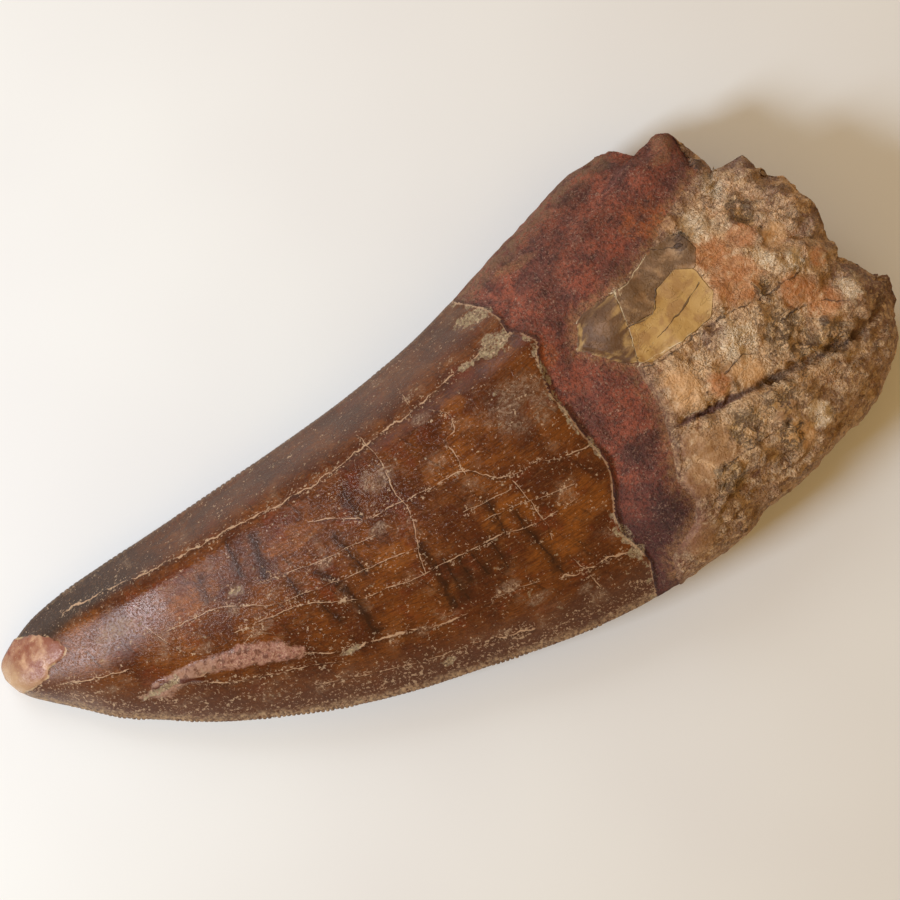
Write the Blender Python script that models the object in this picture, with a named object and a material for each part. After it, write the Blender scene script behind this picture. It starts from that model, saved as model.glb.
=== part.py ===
# Fossil tooth of a large meat-eating dinosaur: enamel crown, band of sandstone and broken root,
# all grown or cemented into one piece. It lies on its flatter face.
# +X runs from the tip to the root, +Y to the hollow (rear) edge and +Z up.
# Design values are millimetres; the mesh is written in metres. The origin is the middle of the
# tooth's bounding box, at the height of the surface that it lies on.

import bpy
import bmesh
import numpy as np

MM = 0.001

# Plan outline, tip first. The rear edge is hollow, the front edge is bowed.
REAR_EDGE = [(-46.0, 4.4), (-45.6, 5.6), (-43.6, 6.9), (-41.3, 7.9), (-39.0, 8.45), (-35.0, 8.95),
             (-28.9, 9.3), (-20.7, 9.8), (-12.6, 10.4), (-4.6, 11.2), (3.4, 12.6), (11.4, 14.95),
             (19.4, 17.5), (23.4, 18.75), (26.6, 18.95)]
FRONT_EDGE = [(-46.0, 4.4), (-45.1, 2.3), (-43.2, 0.4), (-41.0, -1.5), (-38.2, -4.0), (-34.5, -6.4),
              (-29.5, -9.4), (-24.8, -11.5), (-18.7, -13.9), (-12.6, -15.65), (-4.6, -17.25),
              (3.4, -18.7), (11.4, -19.25), (17.5, -18.9), (22.3, -18.1), (23.2, -17.5),
              (28.6, -16.5), (33.5, -15.1), (38.0, -13.7), (40.9, -11.6), (42.8, -9.5), (43.3, -8.2)]
# Jagged break across the root, from the rear edge to the front edge
BREAK = [(26.6, 18.95), (28.6, 18.3), (29.8, 17.1), (30.9, 17.2), (32.4, 17.9), (33.4, 17.4),
         (34.0, 15.9), (34.9, 13.7), (35.1, 12.3), (36.7, 12.1), (38.2, 12.1), (38.6, 10.6),
         (39.2, 9.2), (40.4, 8.7), (40.8, 7.0), (41.6, 4.9), (41.3, 2.8), (40.9, 0.0), (42.2, -1.7),
         (43.3, -3.5), (44.2, -4.3), (44.1, -5.8), (43.1, -7.1), (43.3, -8.2)]

# Lines across the root, each as x at a height y in the plan
ENAMEL_END = [(8.6, 13.8), (9.7, 12.8), (11.2, 10.4), (11.2, 8.7), (13.1, 6.7), (12.1, 4.3),
              (11.7, 1.8), (12.4, -2.3), (13.1, -5.9), (11.4, -10.4), (11.1, -12.3), (12.2, -15.9),
              (11.2, -19.4)]
BONE_START = [(33.7, 12.7), (30.7, 11.6), (28.4, 10.4), (25.8, 8.6), (20.8, 7.2), (17.2, 6.6),
              (15.8, 4.2), (17.3, 2.7), (19.6, 0.3), (19.7, -4.0), (18.8, -7.6), (17.7, -10.4),
              (18.3, -12.8), (17.4, -14.5), (14.2, -16.4), (13.7, -18.3)]
# Long hollows in the root's upper face: line, depth and half-width
GROOVES = [([(18.4, -6.0), (24.6, -6.4), (31.4, -7.0), (38.4, -7.4), (42.5, -5.6)], 1.0, 1.1),
           ([(19.6, 0.3), (24.0, 0.0), (29.8, 0.2), (36.6, 0.3)], 0.35, 0.7),
           ([(19.7, -13.8), (22.6, -13.9), (26.6, -13.2)], 0.5, 0.8),
           ([(35.1, 12.0), (32.5, 8.6), (30.6, 5.0)], 0.5, 0.9),
           ([(41.2, 1.6), (37.4, 3.4), (34.0, 4.2)], 0.6, 0.9)]
# Long hollows in the root's underside
UNDER_GROOVES = [([(15.0, 3.0), (24.0, 4.4), (33.0, 5.6), (41.6, 5.0)], 1.0, 1.3),
                 ([(17.0, -10.0), (26.0, -9.6), (36.0, -8.6)], 0.8, 1.2)]

# Height of the crown and root above and below the cutting edges, at stations from tip to break
STATIONS = [0.0, 0.04, 0.12, 0.25, 0.4, 0.55, 0.7, 0.85, 1.0]
BULGE_ABOVE = [1.3, 2.3, 3.4, 4.8, 6.1, 7.3, 8.1, 7.9, 5.8]
BULGE_BELOW = [1.0, 1.9, 2.9, 4.1, 5.2, 6.2, 6.9, 6.8, 5.2]
BLUNT_TIP = 0.035          # share of the length over which the tip rounds off
RIDGE_INSET = [2.2, 2.7, 3.3, 3.7, 4.0, 4.6, 5.4, 6.0, 6.0]    # rear facet's width at the stations
RIDGE_ROUND = [0.4, 0.5, 0.7, 1.1, 1.8, 2.6, 3.2, 3.4, 3.4]    # how softly it meets the broad face
CREST_ABOVE = 0.3          # highest line of the broad face, from -1 at the front edge to 1
CREST_BELOW = 0.15
BROAD_POWER = 2.1          # how full the broad face is, and the oval of the root
OVAL_POWER = 2.6
REAR_SHOULDER = 0.55       # how far the broad face turns down behind the crest
FACET_TOP = 0.94           # height at which the rear facet meets it, as a share of the crest's
REST_DEPTH = 0.45          # how much of the underside's ridge is worn flat where the tooth lies
WEAR_START = 2.3           # height of the worn facet where it leaves the tip
WEAR_SLOPE = 0.4           # and its rise towards the root

ROOT_BLEND = (-1.0, 5.0)   # the crown's section turns into the root's over this run of x
ENAMEL_STEP = 0.5          # enamel stands this far above the sandstone band
BONE_STEP = 0.7            # and so does the root's bone, less so towards the rear edge
REAR_BONE_STEP = 0.2
REAR_STEP_SPAN = (5.0, 9.0)                 # y over which it lessens
STEP_WIDTH = 0.5
ROOT_LUMPS = [(5.0, 0.55), (2.4, 0.3)]      # size and height of the root's lumps
LUMP_START = 4.0           # they grow to full height over this distance from the enamel
BREAK_RUN = 0.24           # share of the length over which the jagged break shapes the mesh
BREAK_LIP = 1.6            # the faces fall away over this distance before the break
BREAK_FALL = 1.3
BREAK_THINNEST = 0.3       # most of the thickness that may fall away there
PULP_DEPTH = 3.2           # hollow of the pulp cavity in the broken end
PULP_WIDTH = 0.45          # its half-width, as a share of the root's
BREAK_ROUGH = 0.5          # height of the rough lumps there, and their size in shares
BREAK_LUMP = (0.11, 0.2)

FRONT_PITCH = 0.46         # spacing of the saw teeth on the front edge
REAR_PITCH = 0.56
SAW_DEPTH = 0.17           # half the height of one saw tooth
SAW_SHAPE = [(0.0, -1.0), (0.22, 1.0), (0.62, 1.0), (0.84, -1.0)]   # along its pitch, and height
SAW_START = 0.07           # the saw edges run from here, in shares of the edge's length
FRONT_SAW_END = 0.63
REAR_SAW_END = 0.68
SAW_FADE = 0.1             # the saw teeth are lower over this share at either end
SAW_LEAST = 0.25

TOOTH_LENGTH = 85.0        # along the middle, from tip to break
CROWN_COLUMNS = 36         # mesh columns along the enamel, the sandstone band and the bone
BAND_COLUMNS = 9
BONE_COLUMNS = 34
BAND_LEAST = 0.03          # least share of the length for the band, and for the bone
TIP_CROWDING = 1.35        # columns lie closer together towards the tip
SKEW_LIMIT = 0.03          # rows whose columns differ more than this share are joined by place
ROWS_ABOVE = 28
ROWS_BELOW = 15
BREAK_ROWS = 5
ABOVE_SEED = 0             # seeds of the lumps on each face and on the broken end
BELOW_SEED = 5
BREAK_SEED = 11


def resample(points, positions):
    # places along a polyline, as shares of its length
    points = np.array(points, float)
    steps = np.hypot(*np.diff(points, axis=0).T)
    along = np.concatenate([[0.0], np.cumsum(steps)]) / steps.sum()
    return np.column_stack([np.interp(positions, along, points[:, 0]),
                            np.interp(positions, along, points[:, 1])])


def smooth_curve(points, steps=16):
    # cubic curve through the points, with each slope taken from its two neighbours
    points = np.array(points, float)
    chord = np.concatenate([[0.0], np.cumsum(np.hypot(*np.diff(points, axis=0).T) ** 0.5)])
    slopes = np.gradient(points, chord, axis=0)
    curve = []
    for i in range(len(points) - 1):
        span = chord[i + 1] - chord[i]
        for u in np.linspace(0.0, 1.0, steps, endpoint=False):
            curve.append((2 * u ** 3 - 3 * u ** 2 + 1) * points[i]
                         + (u ** 3 - 2 * u ** 2 + u) * span * slopes[i]
                         + (3 * u ** 2 - 2 * u ** 3) * points[i + 1]
                         + (u ** 3 - u ** 2) * span * slopes[i + 1])
    curve.append(points[-1])
    return np.array(curve)


def smooth_step(value, low, high):
    share = np.clip((value - low) / (high - low), 0.0, 1.0)
    return share * share * (3.0 - 2.0 * share)


def smooth_min(a, b, radius):
    share = np.clip(0.5 + 0.5 * (b - a) / radius, 0.0, 1.0)
    return b + (a - b) * share - radius * share * (1.0 - share)


def at_station(table, s):
    return np.interp(s, STATIONS, table)


def line_x(line, y):
    # x of a line across the tooth at the heights y
    ordered = sorted(line, key=lambda point: point[1])
    return np.interp(y, [point[1] for point in ordered], [point[0] for point in ordered])


def distance_to(line, x, y):
    nearest = np.full(np.shape(x), 1e9)
    for (x0, y0), (x1, y1) in zip(line[:-1], line[1:]):
        dx, dy = x1 - x0, y1 - y0
        share = np.clip(((x - x0) * dx + (y - y0) * dy) / (dx * dx + dy * dy), 0.0, 1.0)
        nearest = np.minimum(nearest, np.hypot(x - x0 - share * dx, y - y0 - share * dy))
    return nearest


def lattice(ix, iy, seed):
    # one repeatable number between -1 and 1 for each lattice point
    value = np.sin(ix * 12.9898 + iy * 78.233 + seed * 37.719) * 43.7585453
    return 2.0 * (value - np.floor(value)) - 1.0


def lumps(x, y, size, seed):
    # soft random lumps of one size
    u, v = x / size, y / size
    ix, iy = np.floor(u), np.floor(v)
    fu, fv = u - ix, v - iy
    fu, fv = fu * fu * (3 - 2 * fu), fv * fv * (3 - 2 * fv)
    low = lattice(ix, iy, seed) * (1 - fu) + lattice(ix + 1, iy, seed) * fu
    high = lattice(ix, iy + 1, seed) * (1 - fu) + lattice(ix + 1, iy + 1, seed) * fu
    return low * (1 - fv) + high * fv


REAR_CURVE = smooth_curve(REAR_EDGE)
FRONT_CURVE = smooth_curve(FRONT_EDGE)


def plan_point(s, t):
    # plan position at s along the tooth (0 tip, 1 break) and t across it (-1 front, 1 rear)
    s, t = np.broadcast_arrays(s, t)
    across = (t + 1) / 2
    rear = resample(REAR_CURVE, s.ravel()).reshape(s.shape + (2,))
    front = resample(FRONT_CURVE, s.ravel()).reshape(s.shape + (2,))
    point = front + (rear - front) * across[..., None]
    straight = FRONT_CURVE[-1] + (REAR_CURVE[-1] - FRONT_CURVE[-1]) * across[..., None]
    jagged = resample(BREAK[::-1], across.ravel()).reshape(s.shape + (2,))
    pull = smooth_step(s, 1.0 - BREAK_RUN, 1.0)
    return point + (jagged - straight) * pull[..., None]


def root_share(x, y):
    # 0 on the enamel, 1 on the root
    return smooth_step(x - line_x(ENAMEL_END, y), *ROOT_BLEND)


def blunt(s):
    return np.sqrt(1.0 - (1.0 - np.clip(s / BLUNT_TIP, 0.0, 1.0)) ** 2)


def edge_height(s):
    # height of the cutting edges: the underside's ridge runs just below the resting surface
    return at_station(BULGE_BELOW, s) * (0.75 + 0.25 * blunt(s)) - REST_DEPTH


def cross_section(s, t, x, y, bulge, crest):
    # blade with a steep rear facet on the crown, and a full oval on the root
    width = np.hypot(*np.moveaxis(plan_point(s, 1.0) - plan_point(s, -1.0), -1, 0))
    height = at_station(bulge, s)
    ahead = (crest - t) / (1.0 + crest)
    behind = REAR_SHOULDER * (t - crest) / (1.0 - crest)
    broad = height * (1.0 - np.where(t < crest, ahead, behind) ** BROAD_POWER)
    facet_rise = FACET_TOP * height / at_station(RIDGE_INSET, s)
    facet = facet_rise * (1.0 - t) * width / 2.0
    blade = np.maximum(smooth_min(broad, facet, at_station(RIDGE_ROUND, s)), 0.0)
    oval = height * np.sqrt(np.maximum(1.0 - np.abs(t) ** OVAL_POWER, 0.0))
    share = root_share(x, y)
    return (blade * (1.0 - share) + oval * share) * blunt(s)


def break_fall(s, x, y):
    # both faces drop away beside the broken end
    gap = distance_to(BREAK, x, y)
    return BREAK_FALL * (1.0 - smooth_step(gap, 0.0, BREAK_LIP)) * smooth_step(s, 0.8, 0.95)


def relief_above(t, x, y):
    inside = 1.0 - np.abs(t) ** 6
    past_enamel = x - line_x(ENAMEL_END, y)
    past_band = x - line_x(BONE_START, y)
    on_root = smooth_step(past_enamel, 0.0, STEP_WIDTH)
    relief = -ENAMEL_STEP * on_root
    bone_step = BONE_STEP - (BONE_STEP - REAR_BONE_STEP) * smooth_step(y, *REAR_STEP_SPAN)
    relief += bone_step * smooth_step(past_band, 0.0, STEP_WIDTH)
    for line, depth, half_width in GROOVES:
        relief -= depth * (1.0 - smooth_step(distance_to(line, x, y), 0.0, half_width))
    for number, (size, height) in enumerate(ROOT_LUMPS):
        relief += height * lumps(x, y, size, ABOVE_SEED + number) * smooth_step(past_enamel, 0.0, LUMP_START)
    return relief * inside


def relief_below(t, x, y):
    inside = 1.0 - np.abs(t) ** 6
    past_enamel = x - line_x(ENAMEL_END, y)
    relief = -ENAMEL_STEP * smooth_step(past_enamel, 0.0, STEP_WIDTH)
    for line, depth, half_width in UNDER_GROOVES:
        relief -= depth * (1.0 - smooth_step(distance_to(line, x, y), 0.0, half_width))
    for number, (size, height) in enumerate(ROOT_LUMPS):
        relief += height * lumps(x, y, size, BELOW_SEED + number) * smooth_step(past_enamel, 0.0, LUMP_START)
    return relief * inside


def face_above(s, t):
    s, t = np.broadcast_arrays(s, t)
    x, y = np.moveaxis(plan_point(s, t), -1, 0)
    rise = cross_section(s, t, x, y, BULGE_ABOVE, CREST_ABOVE)
    rise = rise + relief_above(t, x, y) * blunt(s)
    fall = np.minimum(break_fall(s, x, y), BREAK_THINNEST * rise)
    z = edge_height(s) + np.maximum(rise - fall, 0.0)
    worn = WEAR_START + WEAR_SLOPE * (x - FRONT_EDGE[0][0])
    return np.stack([x, y, np.minimum(z, np.maximum(worn, edge_height(s)))], axis=-1)


def face_below(s, t):
    s, t = np.broadcast_arrays(s, t)
    x, y = np.moveaxis(plan_point(s, t), -1, 0)
    drop = cross_section(s, t, x, y, BULGE_BELOW, CREST_BELOW)
    drop = drop + relief_below(t, x, y) * blunt(s)
    fall = np.minimum(break_fall(s, x, y), BREAK_THINNEST * drop)
    z = edge_height(s) - np.maximum(drop - fall, 0.0)
    return np.stack([x, y, np.maximum(z, 0.0)], axis=-1)


def saw_edge(t, pitch, end_share):
    # one cutting edge from tip to break, with a square-shouldered saw tooth for each pitch
    curve = REAR_CURVE if t > 0 else FRONT_CURVE
    length = np.hypot(*np.diff(curve, axis=0).T).sum()
    first, last = SAW_START, end_share
    count = int((last - first) * length / pitch)
    positions, heights = [], []
    for number in range(count):
        for place, height in SAW_SHAPE:
            s = first + (number + place) * (last - first) / count
            fade = min(1.0, SAW_LEAST + min(s - first, last - s) / SAW_FADE)
            positions.append(s)
            heights.append(height * SAW_DEPTH * fade)
    plain = [s for s in columns(t) if 0.0 < s < 1.0 and not first - 0.004 < s < last + 0.002]
    positions, heights = np.array(positions + plain), np.array(heights + [0.0] * len(plain))
    order = np.argsort(positions)
    positions, heights = positions[order], heights[order]
    edge = face_above(positions, t)
    step = 0.002
    along = plan_point(np.minimum(positions + step, 1.0), t) - plan_point(positions - step, t)
    along /= np.hypot(along[:, 0], along[:, 1])[:, None]
    outward = np.column_stack([-along[:, 1], along[:, 0]]) * np.sign(t)
    edge[:, :2] += outward * heights[:, None]
    return positions, edge


def crossing(line, t):
    # where a row of the mesh meets a line across the tooth
    s = np.linspace(0.3, 1.0 - BAND_LEAST, 500)
    x, y = plan_point(s, t).T
    past = x > line_x(line, y)
    return s[np.argmax(past)] if past.any() else s[-1]


def columns(t):
    # places along one row, with a close pair on each side of a ledge
    lip = STEP_WIDTH / TOOTH_LENGTH
    enamel = min(crossing(ENAMEL_END, t), 1.0 - 3 * BAND_LEAST)
    bone = max(crossing(BONE_START, t), enamel + BAND_LEAST)
    crown = enamel * np.linspace(0.0, 1.0, CROWN_COLUMNS) ** TIP_CROWDING
    band = np.linspace(enamel + lip, bone, BAND_COLUMNS)
    return np.concatenate([crown, band, np.linspace(bone + lip, 1.0, BONE_COLUMNS)])


def rows(count):
    # closer together towards the edges
    return np.sin(np.linspace(-np.pi / 2, np.pi / 2, count + 1)) * 0.75 \
        + np.linspace(-1.0, 1.0, count + 1) * 0.25


def zip_rows(mesh, row_a, at_a, row_b, at_b, flip):
    # triangles between two rows of points that have their own spacing
    i = j = 0
    while i < len(row_a) - 1 or j < len(row_b) - 1:
        step_a = j == len(row_b) - 1 or (i < len(row_a) - 1 and at_a[i + 1] <= at_b[j + 1])
        corners = [row_a[i], row_a[i + 1], row_b[j]] if step_a else [row_a[i], row_b[j + 1], row_b[j]]
        i, j = (i + 1, j) if step_a else (i, j + 1)
        if len(set(corners)) == 3:
            mesh.faces.new(corners[::-1] if flip else corners)


def face_rows(mesh, face, row_count, tip):
    # inner rows of one face, from the tip to the break
    grid = []
    for t in rows(row_count)[1:-1]:
        points = face(columns(t)[1:], t)
        grid.append([tip] + [mesh.verts.new(point * MM) for point in points])
    return grid


def broken_end(mesh, above, below, front, rear):
    # rough face between the two faces' last points, hollowed at the pulp cavity
    t_above, t_below = rows(ROWS_ABOVE), rows(ROWS_BELOW)
    top = [front] + [row[-1] for row in above] + [rear]
    low = [front] + [row[-1] for row in below] + [rear]
    outward = np.array([REAR_EDGE[-1][1] - FRONT_EDGE[-1][1], FRONT_EDGE[-1][0] - REAR_EDGE[-1][0]])
    outward /= np.hypot(*outward)
    previous, previous_t = top, t_above
    low_z = np.array([vertex.co.z for vertex in low])
    low_xy = np.array([vertex.co.xy for vertex in low])
    for number in range(1, BREAK_ROWS):
        share = number / BREAK_ROWS
        line = []
        for t, upper in zip(t_above[1:-1], top[1:-1]):
            bottom_z = np.interp(t, t_below, low_z)
            bottom = [np.interp(t, t_below, low_xy[:, 0]), np.interp(t, t_below, low_xy[:, 1])]
            hollow = np.exp(-(t / PULP_WIDTH) ** 2) * np.sin(np.pi * share) * PULP_DEPTH
            place = np.array([t, share]) / BREAK_LUMP
            rough = BREAK_ROUGH * lumps(place[0], place[1], 1.0, BREAK_SEED)
            push = (float(rough) * np.sin(np.pi * share) - hollow) * (1 - t ** 4) * MM
            x = upper.co.x * (1 - share) + bottom[0] * share + outward[0] * push
            y = upper.co.y * (1 - share) + bottom[1] * share + outward[1] * push
            line.append(mesh.verts.new((x, y, upper.co.z * (1 - share) + bottom_z * share)))
        line = [front] + line + [rear]
        zip_rows(mesh, previous, previous_t, line, t_above, True)
        previous, previous_t = line, t_above
    zip_rows(mesh, previous, previous_t, low, t_below, True)


def make_tooth():
    mesh = bmesh.new()
    tip = mesh.verts.new(face_above(0.0, 0.0) * MM)
    above = face_rows(mesh, face_above, ROWS_ABOVE, tip)
    below = face_rows(mesh, face_below, ROWS_BELOW, tip)
    edges = []
    for t, pitch, end in ((-1.0, FRONT_PITCH, FRONT_SAW_END), (1.0, REAR_PITCH, REAR_SAW_END)):
        positions, points = saw_edge(t, pitch, end)
        break_corner = face_above(1.0, t)
        verts = [tip] + [mesh.verts.new(point * MM) for point in points]
        verts.append(mesh.verts.new(break_corner * MM))
        edges.append((np.concatenate([[0.0], positions, [1.0]]), verts))
    (front_at, front), (rear_at, rear) = edges
    order = np.arange(len(above[0]))
    for grid, row_count, flip in ((above, ROWS_ABOVE, True), (below, ROWS_BELOW, False)):
        places = [columns(t) for t in rows(row_count)[1:-1]]
        zip_rows(mesh, front, front_at, grid[0], places[0], flip)
        for number in range(len(grid) - 1):
            skewed = np.abs(places[number] - places[number + 1]).max() > SKEW_LIMIT
            at = places[number:number + 2] if skewed else [order, order]
            zip_rows(mesh, grid[number], at[0], grid[number + 1], at[1], flip)
        zip_rows(mesh, grid[-1], places[-1], rear, rear_at, flip)
    broken_end(mesh, above, below, front[-1], rear[-1])
    bmesh.ops.recalc_face_normals(mesh, faces=mesh.faces)
    return mesh


def centre(mesh):
    low = [min(vertex.co[axis] for vertex in mesh.verts) for axis in range(3)]
    high = [max(vertex.co[axis] for vertex in mesh.verts) for axis in range(3)]
    middle = (-(low[0] + high[0]) / 2, -(low[1] + high[1]) / 2, -low[2])
    bmesh.ops.translate(mesh, vec=middle, verts=mesh.verts)


def tooth_material():
    material = bpy.data.materials.new("brown_enamel_and_root")
    material.use_nodes = True
    shader = material.node_tree.nodes["Principled BSDF"]
    shader.inputs["Base Color"].default_value = (0.165, 0.062, 0.025, 1.0)
    shader.inputs["Roughness"].default_value = 0.42
    shader.inputs["Metallic"].default_value = 0.0
    return material


def build():
    for item in list(bpy.data.objects):
        bpy.data.objects.remove(item, do_unlink=True)
    mesh = make_tooth()
    centre(mesh)
    data = bpy.data.meshes.new("fossil_tooth")
    mesh.to_mesh(data)
    mesh.free()
    data.shade_smooth()
    data.set_sharp_from_angle(angle=np.radians(40))
    data.materials.append(tooth_material())
    tooth = bpy.data.objects.new("fossil_tooth", data)
    bpy.context.scene.collection.objects.link(tooth)


build()
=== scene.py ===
# Fossil dinosaur tooth: brown enamel crown, red sandstone band and crumbling root bone.
# All lengths in the dictionaries are millimetres. x runs from tip to root, y to the hollow edge.
import math

import bpy
import numpy as np
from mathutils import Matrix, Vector


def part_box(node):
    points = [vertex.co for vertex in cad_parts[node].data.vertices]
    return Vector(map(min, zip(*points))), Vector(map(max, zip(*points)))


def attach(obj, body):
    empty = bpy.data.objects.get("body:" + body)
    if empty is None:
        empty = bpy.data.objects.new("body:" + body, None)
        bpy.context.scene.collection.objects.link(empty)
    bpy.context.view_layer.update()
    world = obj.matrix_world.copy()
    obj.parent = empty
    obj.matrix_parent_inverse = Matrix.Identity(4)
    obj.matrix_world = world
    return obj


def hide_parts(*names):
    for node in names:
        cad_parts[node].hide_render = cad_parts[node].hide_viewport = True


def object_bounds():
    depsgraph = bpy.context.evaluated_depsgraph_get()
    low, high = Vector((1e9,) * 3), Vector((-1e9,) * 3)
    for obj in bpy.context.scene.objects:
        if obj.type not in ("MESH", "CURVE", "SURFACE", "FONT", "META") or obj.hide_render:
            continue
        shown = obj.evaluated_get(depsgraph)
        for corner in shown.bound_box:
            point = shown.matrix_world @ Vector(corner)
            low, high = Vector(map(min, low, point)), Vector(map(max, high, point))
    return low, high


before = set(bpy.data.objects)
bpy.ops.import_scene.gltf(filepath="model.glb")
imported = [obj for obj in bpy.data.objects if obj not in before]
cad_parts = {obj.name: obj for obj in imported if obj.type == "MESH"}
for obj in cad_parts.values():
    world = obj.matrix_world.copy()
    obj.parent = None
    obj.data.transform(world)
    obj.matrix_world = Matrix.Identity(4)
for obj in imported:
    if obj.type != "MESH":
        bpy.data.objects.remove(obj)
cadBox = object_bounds()
mm = 0.001
print("frame loaded")

# the tooth's form, the same design values as the solid; stations are shares of the way, tip to break
form = dict(
    rearEdge=[(-46.0, 4.4), (-45.6, 5.6), (-43.6, 6.9), (-41.3, 7.9), (-39.0, 8.45), (-35.0, 8.95),
        (-28.9, 9.3), (-20.7, 9.8), (-12.6, 10.4), (-4.6, 11.2), (3.4, 12.6), (11.4, 14.95), (19.4, 17.5),
        (23.4, 18.75), (26.6, 18.95)],
    frontEdge=[(-46.0, 4.4), (-45.1, 2.3), (-43.2, 0.4), (-41.0, -1.5), (-38.2, -4.0), (-34.5, -6.4),
        (-29.5, -9.4), (-24.8, -11.5), (-18.7, -13.9), (-12.6, -15.65), (-4.6, -17.25), (3.4, -18.7),
        (11.4, -19.25), (17.5, -18.9), (22.3, -18.1), (23.2, -17.5), (28.6, -16.5), (33.5, -15.1),
        (38.0, -13.7), (40.9, -11.6), (42.8, -9.5), (43.3, -8.2)],
    breakLine=[(26.6, 18.95), (28.6, 18.3), (29.8, 17.1), (30.9, 17.2), (32.4, 17.9), (33.4, 17.4),
        (34.0, 15.9), (34.9, 13.7), (35.1, 12.3), (36.7, 12.1), (38.2, 12.1), (38.6, 10.6), (39.2, 9.2),
        (40.4, 8.7), (40.8, 7.0), (41.6, 4.9), (41.3, 2.8), (40.9, 0.0), (42.2, -1.7), (43.3, -3.5),
        (44.2, -4.3), (44.1, -5.8), (43.1, -7.1), (43.3, -8.2)],
    stations=[0.0, 0.04, 0.12, 0.25, 0.4, 0.55, 0.7, 0.85, 1.0],
    bulgeAbove=[1.3, 2.3, 3.4, 4.8, 6.1, 7.3, 8.1, 7.9, 5.8],
    bulgeBelow=[1.0, 1.9, 2.9, 4.1, 5.2, 6.2, 6.9, 6.8, 5.2],
    ridgeInset=[2.2, 2.7, 3.3, 3.7, 4.0, 4.6, 5.4, 6.0, 6.0],
    ridgeRound=[0.4, 0.5, 0.7, 1.1, 1.8, 2.6, 3.2, 3.4, 3.4], bluntTip=0.035, crestAbove=0.3,
    crestBelow=0.15, broadPower=2.1, ovalPower=2.6, rearShoulder=0.55, facetTop=0.94, restDepth=0.45,
    wearStart=2.3, wearSlope=0.38, wearLean=0.15, wearRound=0.9, breakRun=0.24, breakLip=1.6,
    breakFall=1.3, breakThinnest=0.3, pulpDepth=3.2, pulpWidth=0.45, rootBlend=(-1.0, 5.0), length=85.0,
    edgeRise=(0.75, 0.25), fallStart=(0.8, 0.95), fadePower=6, coreHeight=6.0, coreHalf=2.2,
    spallCream=(25.0, 29.0), nearTip=(16.0, 36.0))

# ledges, hollows and lumps of the root, as x at a height y, or as lines
root = dict(
    enamelEnd=[(8.6, 13.8), (9.7, 12.8), (10.6, 11.8), (11.2, 10.4), (11.2, 8.7), (12.2, 8.1), (13.1, 6.7),
        (12.4, 5.5), (12.1, 4.3), (11.8, 3.1), (11.7, 1.8), (12.1, 0.4), (12.4, -2.3), (12.9, -4.4),
        (13.1, -5.9), (12.6, -7.8), (11.4, -10.4), (11.1, -12.3), (11.9, -14.2), (12.2, -15.9),
        (11.2, -19.4)],
    boneStart=[(33.7, 12.7), (30.7, 11.6), (28.4, 10.4), (25.8, 8.6), (20.8, 7.2), (17.2, 6.6),
        (15.8, 4.2), (17.3, 2.7), (19.6, 0.3), (19.7, -4.0), (18.8, -7.6), (17.7, -10.4), (18.3, -12.8),
        (17.4, -14.5), (14.2, -16.4), (13.7, -18.3)],
    enamelStep=0.5, boneStep=0.7, rearBoneStep=0.2, rearStepSpan=(5.0, 9.0), stepWidth=0.5,
    lumps=[(5.0, 0.55), (2.4, 0.3)], lumpStart=4.0,
    grooves=[([(18.4, -6.0), (24.6, -6.4), (31.4, -7.0), (38.4, -7.4), (42.5, -5.6)], 1.0, 1.1),
        ([(19.6, 0.3), (24.0, 0.0), (29.8, 0.2), (36.6, 0.3)], 0.35, 0.7),
        ([(19.7, -13.8), (22.6, -13.9), (26.6, -13.2)], 0.5, 0.8),
        ([(35.1, 12.0), (32.5, 8.6), (30.6, 5.0)], 0.5, 0.9),
        ([(41.2, 1.6), (37.4, 3.4), (34.0, 4.2)], 0.6, 0.9)],
    underGrooves=[([(15.0, 3.0), (24.0, 4.4), (33.0, 5.6), (41.6, 5.0)], 1.0, 1.3),
        ([(17.0, -10.0), (26.0, -9.6), (36.0, -8.6)], 0.8, 1.2)],
    grooveSand=(24.0, 30.0), grooveRun=(-1.0, 4.0), turnedOver=(2.6, 0.8))

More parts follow.
